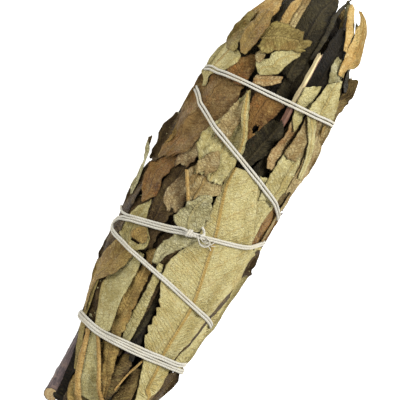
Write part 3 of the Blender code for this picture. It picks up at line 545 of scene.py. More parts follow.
def make_object(name, pieces, node):
    """The mesh object of collected faces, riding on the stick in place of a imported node."""
    mesh = bpy.data.meshes.new(name)
    points = np.concatenate(pieces.points) * MM
    mesh.vertices.add(len(points))
    mesh.vertices.foreach_set("co", points.astype(np.float32).ravel())
    corners = np.concatenate([group.ravel() for group in pieces.faces])
    sizes = np.concatenate([np.full(len(group), group.shape[1]) for group in pieces.faces])
    mesh.loops.add(len(corners))
    mesh.loops.foreach_set("vertex_index", corners.astype(np.int32))
    mesh.polygons.add(len(sizes))
    mesh.polygons.foreach_set("loop_start", np.concatenate([[0], np.cumsum(sizes)[:-1]]).astype(np.int32))
    for made in pieces.materials:
        mesh.materials.append(made)
    mesh.polygons.foreach_set("material_index", np.concatenate(pieces.slots).astype(np.int32))
    mesh.update(calc_edges=True)
    for label, values in (("leaf", pieces.leaf), ("mark", pieces.mark)):
        layer = mesh.attributes.new(label, "FLOAT_VECTOR", "POINT")
        layer.data.foreach_set("vector", np.concatenate(values).astype(np.float32).ravel())
    mesh.shade_smooth()
    mesh.update()
    piece = bpy.data.objects.new(name, mesh)
    bpy.context.scene.collection.objects.link(piece)
    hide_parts(node)
    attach(piece, "root")


def resampled(grid, rows, columns):
    """A grid of values read at more points."""
    a = np.linspace(0, grid.shape[0] - 1, rows)
    b = np.linspace(0, grid.shape[1] - 1, columns)
    i, j = np.minimum(a.astype(int), grid.shape[0] - 2), np.minimum(b.astype(int), grid.shape[1] - 2)
    p, q = (a - i)[:, None], (b - j)[None, :]
    low = grid[i][:, j] * (1 - p) + grid[i + 1][:, j] * p
    high = grid[i][:, j + 1] * (1 - p) + grid[i + 1][:, j + 1] * p
    return low * (1 - q) + high * q


def blade_relief(blade, along, side, edge, share, wide, across, seed):
    """The height of a blade's surface over a smooth one: ruffles, creases, veins, ridge, curls."""
    shape = blade.ruffle * 1.6 * noise(along, 11.0 * np.sign(side), blade.ruffle_length * 0.5, seed + 6)
    shape = shape * np.exp(-edge / 2.2)
    shape = shape + 1.2 * blade.crease * noise(along, side, 5.5, seed + 7)
    folds = noise(along * 0.6 + side, side - 0.3 * along, 2.4, seed + 8)
    shape = shape + 1.1 * blade.crease * (0.5 - np.abs(folds))
    shape = shape + 0.3 * blade.crease * noise(along, side, 1.0, seed + 9)
    if blade.pleats:
        height, width = blade.pleats
        phase = side / width + 0.7 * noise(along, side, 7.0, seed + 12)
        shape = shape + height * (np.abs(np.sin(np.pi * phase)) ** 0.6 - 0.6)
    if blade.veins > 0:
        phase = (along - 0.85 * np.abs(side)) / blade.veins + 0.2 * noise(along, side, 8.0, seed + 11)
        shape = shape + 0.06 * np.cos(2 * np.pi * phase) * smooth_step(np.abs(side), 0.3, 1.5)
    rib_wide = blade.rib_wide * np.clip(wide / 6.0, 0.35, 1)[:, None]
    ridge = np.exp(-((side / rib_wide) ** 2))
    shape = shape + blade.rib_high * ridge * (1 - 0.55 * share[:, None])
    upper_side = np.exp(-((1 - across[None, :]) * wide[:, None]) / 1.1)
    lower_side = np.exp(-(across[None, :] * wide[:, None]) / 1.1)
    shape = shape + blade.curl_upper * upper_side + blade.curl_lower * lower_side
    shape = shape + blade.tip_lift * share[:, None] ** 1.6
    shape = shape + blade.base_lift * (1 - smooth_step(share, 0, 0.5))[:, None] ** 2 + blade.lift
    return shape, ridge


def settled(surface, laid_before, press, guide, x, angle, shape):
    """How high a blade lies: near its packed leaf's level, over what is there, and evenly bent."""
    cells = surface.cells(x, angle)
    rest = laid_before[cells]
    under = np.where(rest > 0, rest + SPACE, 0)
    level = blurred(np.maximum(guide(x, angle) - press[cells], under), 4)
    for _ in range(3):
        level = np.maximum(blurred(level, 1), under)
    return np.maximum(blurred(np.maximum(level + shape, under), 1), under)


def lay_blade(surface, press, blade, guide, pieces):
    """Shapes one blade over what is there, and adds it to its piece and to the surface."""
    seed = 1000 + 37 * blade.seed
    step = HIDDEN_STEP if blade.hidden else STEP
    low, rib, high = blade_lines(blade, np.linspace(0, 1, 40))
    length = np.linalg.norm(np.diff(rib, axis=0), axis=1).sum()
    wide = np.linalg.norm(high - rib, axis=1) + np.linalg.norm(rib - low, axis=1)
    rows = int(np.clip(length / step, 6, 240)) + 1
    columns = int(np.clip(wide.max() / step, 5, 70)) + 1
    share = np.linspace(0, 1, rows)
    low, rib, high = blade_lines(blade, share)
    run = share * length
    below, above = rib - low, high - rib
    wide_below, wide_above = np.linalg.norm(below, axis=1), np.linalg.norm(above, axis=1)
    wide = wide_below + wide_above
    out = unit(high - low)
    fade = np.clip(wide / 3.0, 0.15, 1)[:, None]
    high = high + out * edge_moved(blade, run, 1, seed)[:, None] * fade
    low = low - out * edge_moved(blade, run, -1, seed + 10)[:, None] * fade
    across = np.linspace(0, 1, columns)
    split = np.clip(wide_below / np.maximum(wide, 1e-6), 0.02, 0.98)[:, None]
    lower_part = np.clip(across[None] / split, 0, 1)[..., None]
    upper_part = np.clip((across[None] - split) / (1 - split), 0, 1)[..., None]
    place = low[:, None] + (rib - low)[:, None] * lower_part + (high - rib)[:, None] * upper_part
    direction = unit(np.gradient(rib, axis=0))
    line = across * wide.max()
    jag = noise(line, 0, 1.6, seed + 4) + 0.7 * noise(line, 5, 0.7, seed + 5)
    at_tip = smooth_step(run, length - 3.0, length)[:, None]
    at_base = 1 - smooth_step(run, 0, 3.0)[:, None]
    place = place + (at_tip * blade.tear * jag[None])[..., None] * direction[:, None]
    place = place + (at_base * blade.tear * jag[None, ::-1])[..., None] * direction[:, None]
    x = place[..., 0]
    angle = np.degrees(place[..., 1] / unrolled_radius(blade, x))
    aside = unrolled_radius(blade, x) * np.sin(np.radians(angle))
    along = np.repeat(run[:, None], columns, axis=1)
    side = (across[None, :] - split) * wide[:, None]
    edge = np.minimum(across[None, :], 1 - across[None, :]) * wide[:, None]
    edge = np.minimum(edge, np.minimum(along, length - along) + 0.15)

    shape, ridge = blade_relief(blade, along, side, edge, share, wide, across, seed)
    seen_y = side_shift(x) + aside
    thick = THIN_EDGE + (THICK - THIN_EDGE) * smooth_step(edge, 0, 0.8)
    laid_before = surface.spread(2, 2)
    if blade.path is None:
        angle = angle_seen(aside, half_width(x) - 0.5)
        for _ in range(3):
            level = settled(surface, laid_before, press, guide, x, angle, shape) + thick
            smooth = blurred(pressed_in(x, angle, level), 16)
            angle = angle_seen(aside, smooth)
    outer = settled(surface, laid_before, press, guide, x, angle, shape) + thick
    if blade.path is None:
        overhang = np.clip(np.abs(aside) / STEEPEST - smooth, 0, MOST_OVERHANG)
        outer = outer + blurred(overhang, 2) / (1 - side_share(angle))
    above_floor = np.where(np.cos(np.radians(angle)) < 0, bottom_radius(x) - FLOOR_GAP, FAR_OFF)
    outer = np.minimum(outer, above_floor)

    keep = np.ones((rows - 1, columns - 1), bool)
    for s, t, reach_s, reach_t in blade.holes:
        (cx, cy), = outline((s, t))
        wobble = 1 + 0.25 * noise(x, seen_y, 0.9, seed + 13)
        inside = np.hypot((x - cx) / (reach_s / 4), (seen_y - cy) / (reach_t / 4)) < wobble
        keep &= ~(inside[:-1, :-1] & inside[1:, 1:])
    size = ((rows - 1) * LAID_FINER + 1, (columns - 1) * LAID_FINER + 1)
    laid = [resampled(f, *size) for f in (x, angle, outer)]
    if keep.all():
        surface.add(*laid)
    else:
        rows_at = np.minimum(np.arange(size[0]) // LAID_FINER, rows - 2)
        columns_at = np.minimum(np.arange(size[1]) // LAID_FINER, columns - 2)
        kept = keep[np.ix_(rows_at, columns_at)]
        surface.add(*(f[kept] for f in laid))

    # How deep each point lies below the outline, which the leaf material turns into painted shade.
    depth = half_width(x) - outer
    leaf = np.stack([along, side, edge], axis=-1)
    mark = np.stack([ridge * (blade.rib_high > 0.01), depth, np.full_like(x, blade.seed * 7.31)], axis=-1)
    count = rows * columns
    standing_off = blade.tip_lift * share[:, None] ** 1.6
    sheet = to_space(x, angle, pressed_in(x, angle, outer - standing_off) + standing_off)
    across_sheet = unit(np.cross(np.gradient(sheet, axis=0), np.gradient(sheet, axis=1)))
    turned = (across_sheet * outward_at(x, angle, outer)).sum() < 0
    shown_thick = thick * (1 - side_share(angle))
    below_sheet = sheet - (-1 if turned else 1) * shown_thick[..., None] * across_sheet
    below_sheet[..., 2] = np.maximum(below_sheet[..., 2], FLOOR_GAP)
    index = np.arange(count).reshape(rows, columns)
    quads = np.stack([index[:-1, :-1], index[1:, :-1], index[1:, 1:], index[:-1, 1:]], axis=-1)[keep]
    sides = rim_faces(quads, count)
    face, back = leaf_look(blade.look, blade.veins), leaf_look(BACKS[blade.look], blade.veins)
    groups = [(quads, face), (quads[:, ::-1] + count, back), (sides, face)]
    if turned:
        groups = [(faces[:, ::-1], made) for faces, made in groups]
    pieces.add(np.stack([sheet, below_sheet]), groups, np.stack([leaf, leaf]), np.stack([mark, mark]))


def rim_faces(quads, count):
    """Faces that close the edges of a sheet of quads to its other side."""
    edges = np.concatenate([quads[:, [k, (k + 1) % 4]] for k in range(4)])
    ordered = np.sort(edges, axis=1)
    key = ordered[:, 0] * (count + 1) + ordered[:, 1]
    _, place, used = np.unique(key, return_index=True, return_counts=True)
    open_edges = edges[place[used == 1]]
    a, b = open_edges[:, 0], open_edges[:, 1]
    return np.stack([b, a, a + count, b + count], axis=-1)


# Materials

# Palette colours are those seen under the studio light; surfaces hold this share of them.
LIT_SHARE = 0.60


def colour(r, g, b):
    """Linear surface colour from an 8-bit display colour."""
    channels = [v / 255 / 12.92 if v <= 10 else ((v / 255 + 0.055) / 1.055) ** 2.4 for v in (r, g, b)]
    return (*(LIT_SHARE * v for v in channels), 1.0)


class Graph:
    """Adds nodes to a material, in few words."""

    def __init__(self, name):
        self.material = bpy.data.materials.new(name)
        self.material.use_nodes = True
        self.tree = self.material.node_tree
        self.shader = self.tree.nodes["Principled BSDF"]

    def put(self, socket, value):
        if isinstance(value, bpy.types.NodeSocket):
            self.tree.links.new(value, socket)
        elif value is not None:
            socket.default_value = value

    def math(self, operation, a, b=None, c=None):
        node = self.tree.nodes.new("ShaderNodeMath")
        node.operation = operation
        for socket, value in zip(node.inputs, (a, b, c)):
            self.put(socket, value)
        return node.outputs[0]

    def mix(self, factor, a, b, blend="MIX"):
        node = self.tree.nodes.new("ShaderNodeMix")
        node.data_type = "RGBA"
        node.blend_type = blend
        self.put(node.inputs[0], factor)
        self.put(node.inputs[6], a)
        self.put(node.inputs[7], b)
        return node.outputs[2]

    def ramp(self, value, low, high):
        """0 below low, 1 above high, smooth between."""
        node = self.tree.nodes.new("ShaderNodeMapRange")
        node.interpolation_type = "SMOOTHSTEP"
        for k, v in enumerate((value, low, high, 0.0, 1.0)):
            self.put(node.inputs[k], v)
        return node.outputs[0]

    def noise(self, vector, scale, detail=2.0, rough=0.5):
        node = self.tree.nodes.new("ShaderNodeTexNoise")
        self.put(node.inputs["Vector"], vector)
        self.put(node.inputs["Scale"], scale)
        self.put(node.inputs["Detail"], detail)
        self.put(node.inputs["Roughness"], rough)
        return node.outputs[0]

    def cells(self, vector, scale):
        """Distance to the edges of random cells: the lines of a net where it is near 0."""
        node = self.tree.nodes.new("ShaderNodeTexVoronoi")
        node.feature = "DISTANCE_TO_EDGE"
        self.put(node.inputs["Vector"], vector)
        self.put(node.inputs["Scale"], scale)
        return node.outputs[0]

    def attribute(self, name):
        node = self.tree.nodes.new("ShaderNodeAttribute")
        node.attribute_name = name
        split = self.tree.nodes.new("ShaderNodeSeparateXYZ")
        self.tree.links.new(node.outputs["Vector"], split.inputs[0])
        return split.outputs

    def vector(self, x, y, z):
        node = self.tree.nodes.new("ShaderNodeCombineXYZ")
        for k, v in enumerate((x, y, z)):
            self.put(node.inputs[k], v)
        return node.outputs[0]

    def tint(self, shade, mask, most, rgb):
        """The shade, mixed with a display colour where the mask says, and no further than most."""
        return self.mix(self.math("MULTIPLY", mask, most), shade, colour(*rgb))

    def repeated_line(self, value, low, high):
        """1 halfway between whole values, 0 from high on beside it."""
        phase = self.math("ABSOLUTE", self.math("SUBTRACT", self.math("FRACT", value), 0.5))
        return self.math("SUBTRACT", 1.0, self.ramp(phase, low, high))

    def bump(self, height, distance):
        node = self.tree.nodes.new("ShaderNodeBump")
        self.put(node.inputs["Height"], height)
        node.inputs["Strength"].default_value = 1.0
        node.inputs["Distance"].default_value = distance
        return node.outputs[0]


# Shares by which every leaf face is marked by light patches, veins, spots and painted shade that deepens below
# the outline, and its relief.
PATCHED, VEINED, SPOTTED, PAINTED_DEPTH_SHADE = 0.6, 0.35, 0.35, 0.75
LEAF_BUMP = 0.3
SPOT_COLOUR, PAINTED_DEPTH_SHADE_COLOUR = (72, 44, 26), (34, 28, 21)


@dataclass
class Look:
    """Colours of one kind of leaf face, as display colours, and the shares by which it is marked."""

    base: tuple
    dark: tuple
    light: tuple
    rib: tuple
    edge: tuple
    net: float = 0.5
    rough: float = 0.8
    lines: tuple = None
    stain: tuple = (150, 112, 60)
    stained: float = 0.4
    rows: float = 0.3
    worn: float = 0.55
    ribbed: float = 0.75


LOOKS = {
    "pale": Look(
        (214, 203, 146), (182, 165, 104), (232, 224, 176), (184, 148, 78), (104, 76, 38),
        stain=(206, 182, 120), stained=0.5, ribbed=0.95,
    ),
    "palegreen": Look(
        (223, 212, 152), (174, 159, 98), (238, 231, 182), (190, 166, 102), (108, 92, 50),
        stain=(190, 166, 104), lines=(158, 142, 90),
    ),
    "grey": Look(
        (226, 218, 166), (164, 154, 104), (240, 235, 196), (188, 172, 118), (82, 70, 42),
        stain=(190, 176, 122), lines=(112, 100, 64), net=0.6, rows=0.45,
    ),
    "wrinkled": Look(
        (212, 193, 136), (142, 116, 68), (232, 217, 168), (182, 150, 90), (90, 66, 36), stain=(172, 134, 82),
        lines=(122, 96, 56), net=0.6, rows=0.45,
    ),
    "tan": Look(
        (214, 182, 114), (172, 134, 74), (234, 212, 152), (192, 154, 88), (136, 96, 46), net=0.3,
        stain=(186, 144, 82),
    ),
    "orange": Look(
        (216, 192, 136), (142, 106, 62), (232, 214, 162), (184, 146, 90), (80, 50, 30), stain=(178, 134, 82),
        net=0.65, rows=0.45,
    ),
    "yellow": Look(
        (222, 190, 120), (180, 142, 74), (238, 216, 156), (190, 150, 82), (136, 98, 44), net=0.25,
        stain=(186, 140, 72),
    ),
    "chestnut": Look(
        (150, 120, 70), (102, 74, 38), (186, 160, 106), (146, 116, 68), (62, 43, 24), rough=0.6,
        stain=(174, 122, 62), stained=0.7,
    ),
    "brown": Look(
        (136, 112, 64), (72, 54, 29), (182, 162, 100), (140, 116, 68), (42, 30, 18), rough=0.6,
        stain=(156, 134, 68), stained=0.6,
    ),
    "rust": Look(
        (154, 114, 58), (92, 62, 30), (184, 152, 92), (146, 108, 58), (52, 35, 20), rough=0.6,
        stain=(168, 110, 52), stained=0.7,
    ),
    "twisted": Look(
        (190, 162, 92), (128, 100, 52), (216, 192, 124), (176, 146, 86), (58, 42, 24), rough=0.6,
        stain=(196, 152, 84), stained=0.6,
    ),
    "golden": Look(
        (184, 154, 84), (116, 90, 44), (210, 182, 110), (166, 138, 78), (54, 39, 22), rough=0.6,
        stain=(178, 134, 64), stained=0.7,
    ),
    "mustard": Look(
        (174, 155, 88), (122, 103, 54), (202, 185, 116), (170, 148, 90), (72, 57, 32), rough=0.65,
        stain=(150, 112, 58), stained=0.7,
    ),
    "olive": Look(
        (60, 53, 32), (36, 31, 19), (94, 84, 51), (78, 68, 42), (30, 25, 17), rough=0.6,
        stain=(78, 70, 42), stained=0.6,
    ),
    "darkbrown": Look(
        (96, 76, 45), (52, 38, 23), (138, 116, 70), (106, 84, 50), (33, 25, 17), rough=0.6,
        stain=(112, 90, 50), stained=0.6,
    ),
    "black": Look(
        (36, 31, 20), (22, 19, 13), (62, 53, 34), (50, 42, 27), (20, 17, 12), rough=0.6, stain=(50, 40, 26),
    ),
    "crumb": Look(
        (206, 184, 130), (142, 114, 72), (224, 208, 160), (130, 90, 56), (66, 40, 26), net=0.6, rough=0.7,
        lines=(78, 48, 30), stain=(128, 92, 58), rows=0.2, worn=0.8,
    ),
}
BACKS = {
    "pale": "brown", "palegreen": "brown", "grey": "darkbrown", "wrinkled": "brown", "tan": "golden",
    "orange": "rust", "yellow": "mustard", "chestnut": "golden", "brown": "golden", "rust": "golden",
    "twisted": "golden", "golden": "tan", "mustard": "yellow", "olive": "grey", "darkbrown": "grey",
    "black": "olive", "crumb": "brown",
}


def leaf_material(name, look, veins):
    """A dried leaf's face: patches, side veins, a fine raised net, an ochre rib with a painted shadow beside
    it, a browned edge, and painted shade that deepens below the outline.
    """
    g = Graph(name)
    along, side, edge = g.attribute("leaf")
    ridge, depth, seed = g.attribute("mark")
    place = g.vector(along, side, seed)
    patches = g.noise(place, 0.16, 3.0, 0.6)
    middling = g.noise(place, 0.6, 3.0, 0.6)
    fine = g.noise(place, 2.4, 3.0, 0.7)
    shade = g.mix(g.ramp(patches, 0.44, 0.64), colour(*look.base), colour(*look.dark))
    stains = g.noise(g.vector(side, along, seed), 0.22, 4.0, 0.65)
    shade = g.tint(shade, g.ramp(stains, 0.50, 0.62), look.stained, look.stain)
    shade = g.tint(shade, g.ramp(middling, 0.50, 0.64), PATCHED, look.light)
    streaks = g.noise(g.vector(g.math("MULTIPLY", along, 0.25), side, seed), 1.1, 3.0, 0.6)
    shade = g.tint(shade, g.ramp(streaks, 0.54, 0.68), 0.55, look.dark)
    shade = g.tint(shade, g.ramp(fine, 0.50, 0.66), 0.65, look.dark)
    shade = g.tint(shade, g.ramp(fine, 0.48, 0.32), 0.6, look.light)
    bent_along = g.math("MULTIPLY_ADD", fine, 0.5, along)
    net_place = g.vector(bent_along, g.math("MULTIPLY_ADD", middling, 1.6, side), seed)
    lines = g.math("SUBTRACT", 1.0, g.ramp(g.cells(net_place, 0.95), 0.02, 0.16))
    small_lines = g.math("SUBTRACT", 1.0, g.ramp(g.cells(net_place, 2.1), 0.04, 0.28))
    both = g.math("MAXIMUM", lines, g.math("MULTIPLY", small_lines, 0.7))
    shade = g.tint(shade, both, look.net, look.lines or look.dark)
    height = g.math("MULTIPLY", both, 0.7)
    if veins > 0:
        bent = g.math("MULTIPLY_ADD", g.math("ABSOLUTE", side), -0.85, along)
        phase = g.math("MULTIPLY_ADD", middling, 0.35, g.math("DIVIDE", bent, veins))
        vein = g.repeated_line(phase, 0.015, 0.06)
        vein = g.math("MULTIPLY", vein, g.ramp(g.math("ABSOLUTE", side), 0.2, 1.2))
        shade = g.tint(shade, vein, VEINED, look.rib)
        height = g.math("MAXIMUM", height, g.math("MULTIPLY", vein, 0.9))
    slanting = g.math("MULTIPLY_ADD", g.math("ABSOLUTE", side), -0.6, along)
    rows = g.math("MULTIPLY_ADD", middling, 1.6, g.math("DIVIDE", slanting, 0.95))
    row = g.math("MULTIPLY", g.repeated_line(rows, 0.04, 0.26), g.ramp(patches, 0.34, 0.54))
    shade = g.tint(shade, row, look.rows, look.dark)
    height = g.math("MULTIPLY_ADD", row, -0.5, height)
    # Painted shadow beside the midrib: a thin dark line in the edge colour, mostly on its upper side.
    beside = g.math("SUBTRACT", g.ramp(ridge, 0.03, 0.14), g.ramp(ridge, 0.3, 0.45))
    beside = g.math("MULTIPLY", beside, g.math("MULTIPLY_ADD", g.ramp(side, -0.1, 0.1), 0.45, 0.1))
    shade = g.mix(beside, shade, colour(*look.edge))
    rib = g.mix(g.math("MULTIPLY", fine, 0.5), colour(*look.rib), colour(*look.dark))
    shade = g.mix(g.math("MULTIPLY", g.ramp(ridge, 0.30, 0.62), look.ribbed), shade, rib)
    worn = g.math("MULTIPLY_ADD", fine, 0.8, edge)
    worn = g.math("MULTIPLY", g.math("SUBTRACT", 1.0, g.ramp(worn, 0.36, 0.66)), look.worn)
    shade = g.mix(worn, shade, colour(*look.edge))
    shade = g.tint(shade, g.ramp(g.noise(place, 1.3, 2.0, 0.5), 0.64, 0.72), SPOTTED, SPOT_COLOUR)
    # Painted shade: points deep below the outline are darkened towards a near-black brown.
    shade = g.tint(shade, g.ramp(depth, 2.4, 7.0), PAINTED_DEPTH_SHADE, PAINTED_DEPTH_SHADE_COLOUR)
    g.put(g.shader.inputs["Base Color"], shade)
    g.put(g.shader.inputs["Roughness"], g.math("MULTIPLY_ADD", middling, 0.25, look.rough - 0.12))
    g.shader.inputs["Specular IOR Level"].default_value = 0.12
    height = g.math("MULTIPLY_ADD", fine, 1.5, height)
    height = g.math("MULTIPLY_ADD", middling, 1.6, height)
    height = g.math("MULTIPLY_ADD", streaks, -1.2, height)
    g.put(g.shader.inputs["Normal"], g.bump(height, LEAF_BUMP * MM))
    return g.material


made_materials = {}


def leaf_look(look, veins):
    key = (look, round(veins, 1))
    if key not in made_materials:
        made_materials[key] = leaf_material(f"{look}_{int(10 * veins)}", LOOKS[look], veins)
    return made_materials[key]


def bark_material(name, dark, middle, light):
    """Bark: streaks along it, broad paler stretches, fine flecks, and painted shade that deepens below the
    outline.
    """
    g = Graph(name)
    along, side, _ = g.attribute("leaf")
    _, depth, seed = g.attribute("mark")
    streaks = g.noise(g.vector(g.math("MULTIPLY", along, 0.22), side, seed), 1.7, 4.0, 0.65)
    broad = g.noise(g.vector(along, side, seed), 0.4, 3.0, 0.6)
    fine = g.noise(g.vector(along, side, seed), 3.2, 2.0, 0.6)
    shade = g.mix(g.ramp(streaks, 0.38, 0.62), colour(*dark), colour(*middle))
    shade = g.tint(shade, g.ramp(broad, 0.50, 0.68), 0.6, light)
    shade = g.tint(shade, g.ramp(fine, 0.55, 0.72), 0.4, light)
    # Painted shade: bark deep below the outline is darkened towards near black.
    shade = g.tint(shade, g.ramp(depth, 3.6, 8.0), 0.6, (26, 22, 22))
    g.put(g.shader.inputs["Base Color"], shade)
    g.shader.inputs["Roughness"].default_value = 0.62
    g.put(g.shader.inputs["Normal"], g.bump(g.math("ADD", streaks, g.math("MULTIPLY", fine, 0.5)), 0.4 * MM))
    return g.material


def wood_material(name, light, dark):
    """Cut wood: rings round the middle, paler sapwood, grain across."""
    g = Graph(name)
    along, side, edge = g.attribute("leaf")
    grain = g.noise(g.vector(along, side, edge), 1.8, 4.0, 0.65)
    rings = g.math("SINE", g.math("MULTIPLY_ADD", grain, 3.0, g.math("MULTIPLY", edge, 16.0)))
    shade = g.mix(g.ramp(grain, 0.35, 0.7), colour(*light), colour(*dark))
    shade = g.tint(shade, g.ramp(rings, 0.0, 1.0), 0.35, dark)
    shade = g.mix(g.math("SUBTRACT", 1.0, g.ramp(edge, 0.06, 0.30)), shade, colour(70, 52, 42))
    g.put(g.shader.inputs["Base Color"], shade)
    g.shader.inputs["Roughness"].default_value = 0.85
    g.put(g.shader.inputs["Normal"], g.bump(grain, 0.25 * MM))
    return g.material


def string_material():
    """Cotton: plies shaded where they meet, fine fibres, slightly soiled."""
    g = Graph("cotton")
    along, side, edge = g.attribute("leaf")
    fibre = g.noise(g.vector(along, side, edge), 4.5, 3.0, 0.7)
    soil = g.noise(g.vector(along, edge, 0.0), 0.22, 2.0, 0.5)
    shade = g.mix(g.ramp(edge, 0.0, 0.7), colour(188, 181, 162), colour(211, 207, 193))
    shade = g.tint(shade, g.ramp(soil, 0.45, 0.7), 0.5, (208, 196, 166))
    shade = g.tint(shade, g.ramp(fibre, 0.45, 0.7), 0.3, (186, 178, 158))
    g.put(g.shader.inputs["Base Color"], shade)
    g.shader.inputs["Roughness"].default_value = 0.9
    g.shader.inputs["Specular IOR Level"].default_value = 0.1
    g.put(g.shader.inputs["Normal"], g.bump(fibre, 0.1 * MM))
    return g.material


# Rods: stems, twig and string


def line_frames(line, outward):
    """Two unit vectors across a line at each point, the first of them as near outward as it can be."""
    along = unit(np.gradient(line, axis=0))
    first = unit(outward - along * (outward * along).sum(axis=1)[:, None])
    return first, np.cross(along, first)


def outward_at(x, angle, radius):
    """Unit vectors pointing away from the axis."""
    return unit(to_space(x, angle, radius + 0.1) - to_space(x, angle, radius))


def rod_points(line, outward, radius, sides):
    """Rings of points round a line. radius is given for each ring, or for each point."""
    first, second = line_frames(line, outward)
    turns = turns_of(sides)
    if np.ndim(radius) < 2:
        radius = np.reshape(radius, (-1, 1))
    radius = np.broadcast_to(radius, (len(line), sides))
    ring = np.cos(turns)[None, :, None] * first[:, None] + np.sin(turns)[None, :, None] * second[:, None]
    return line[:, None] + radius[..., None] * ring


def rod_faces(rings, sides):
    """The quads between rings of points."""
    index = np.arange(rings * sides).reshape(rings, sides)
    after = np.roll(index, -1, axis=1)
    return np.stack([index[:-1], after[:-1], after[1:], index[1:]], axis=-1).reshape(-1, 4)


def closed_rod(rings, sides, made):
    """The faces of a rod with their material, with one flat face at each end."""
    first = np.arange(sides)[None]
    return [(rod_faces(rings, sides), made), (first[:, ::-1], made), (first + (rings - 1) * sides, made)]


def rod_caps(pieces, rings, radii, made, seed):
    """Closes both ends of a rod with slightly uneven faces of cut wood."""
    sides = rings.shape[1]
    turns = turns_of(sides)
    size = np.mean(radii)
    shares = np.array([1.0, 0.85, 0.6, 0.3, 0.04])
    for end, inner, turned in ((0, 1, True), (-1, -2, False)):
        ring = rings[end]
        centre = ring.mean(axis=0)
        points = centre + shares[:, None, None] * (ring - centre)[None]
        way = unit(centre - rings[inner].mean(axis=0))
        across, up = shares[:, None] * np.cos(turns) * size, shares[:, None] * np.sin(turns) * size
        uneven = 0.12 * noise(across, up, 0.5, seed)
        points = points + (uneven * (1 - shares[:, None] ** 4))[..., None] * way
        faces = rod_faces(len(shares), sides)
        from_edge = (1 - shares[:, None]) * size + 0 * turns[None]
        leaf = np.stack([across, up, from_edge], axis=-1)
        pieces.add(points, [(faces[:, ::-1] if turned else faces, made)], leaf, np.zeros_like(leaf))


def build_stems(surface):
    """The woody stems, with grooved bark, leaf scars and slanting cut ends."""
    bark = bark_material("bark", (58, 42, 42), (98, 78, 76), (132, 106, 92))
    dark_bark = bark_material("dark_bark", (36, 30, 33), (72, 58, 62), (124, 82, 72))
    wood = wood_material("cut_wood", (214, 190, 136), (170, 132, 78))
    grey_wood = wood_material("grey_wood", (176, 180, 176), (120, 116, 108))
    turns = turns_of(ROD_SIDES)
    for number, (start, end, thick, thin) in enumerate(STEMS, 1):
        start, end = np.array(start, float), np.array(end, float)
        span = end[0] - start[0]
        count = int(span / (0.5))
        share = np.linspace(0, 1, count)
        x, angle, radius = (start + (end - start) * share[:, None]).T
        angle = angle + 0.7 * np.sin(2 * np.pi * share + start[1])
        run = share * span
        size = thick + (thin - thick) * share
        around = turns[None] * 1.4
        grooves = 0.05 * noise(run[:, None] * 0.12, around * 1.8, 0.6, 40 + number)
        lumps = 0.05 * noise(run[:, None], around, 3.0, 60 + number)
        wrinkles = 0.035 * noise(run[:, None], around, 0.7, 80 + number)
        scar_along = np.exp(-(((run[:, None] - 5.0) % 15.0 - 1.0) / 0.9) ** 2)
        scars = 0.18 * scar_along * np.exp(-2 * (1 - np.cos(around - 1)))
        ring_size = size[:, None] * (0.96 + grooves + lumps + wrinkles + scars)
        line = to_space(x, angle, radius)
        rings = rod_points(line, outward_at(x, angle, radius), ring_size, ROD_SIDES)
        slant = np.exp(-run / 2.5)[:, None] * (0.9 if number in SLANTING_STEMS else 0.35)
        rings[..., 0] += slant * (rings[..., 2] - line[:, None, 2])
        pieces = Pieces()
        leaf = np.stack([run[:, None] + 0 * turns, size[:, None] * turns[None], 0 * ring_size], axis=-1)
        # How deep each point lies below the outline, which the bark material turns into painted shade.
        depth = half_width(x)[:, None] - radius[:, None] - ring_size * np.cos(turns)
        mark = np.stack([0 * ring_size, depth, 0 * ring_size + number], axis=-1)
        made = bark if number in BROWN_STEMS else dark_bark
        pieces.add(rings, [(rod_faces(count, ROD_SIDES), made)], leaf, mark)
        rod_caps(pieces, rings, size, grey_wood if number in GREY_STEMS else wood, number)
        to_next = np.roll(rings, -1, axis=1) - rings
        fine = rings[:, :, None] + to_next[:, :, None] * np.linspace(0, 1, 4)[:, None]
        surface.add(*from_space(fine))
        make_object(f"fine_stem_{number}", pieces, f"stem_{number}")


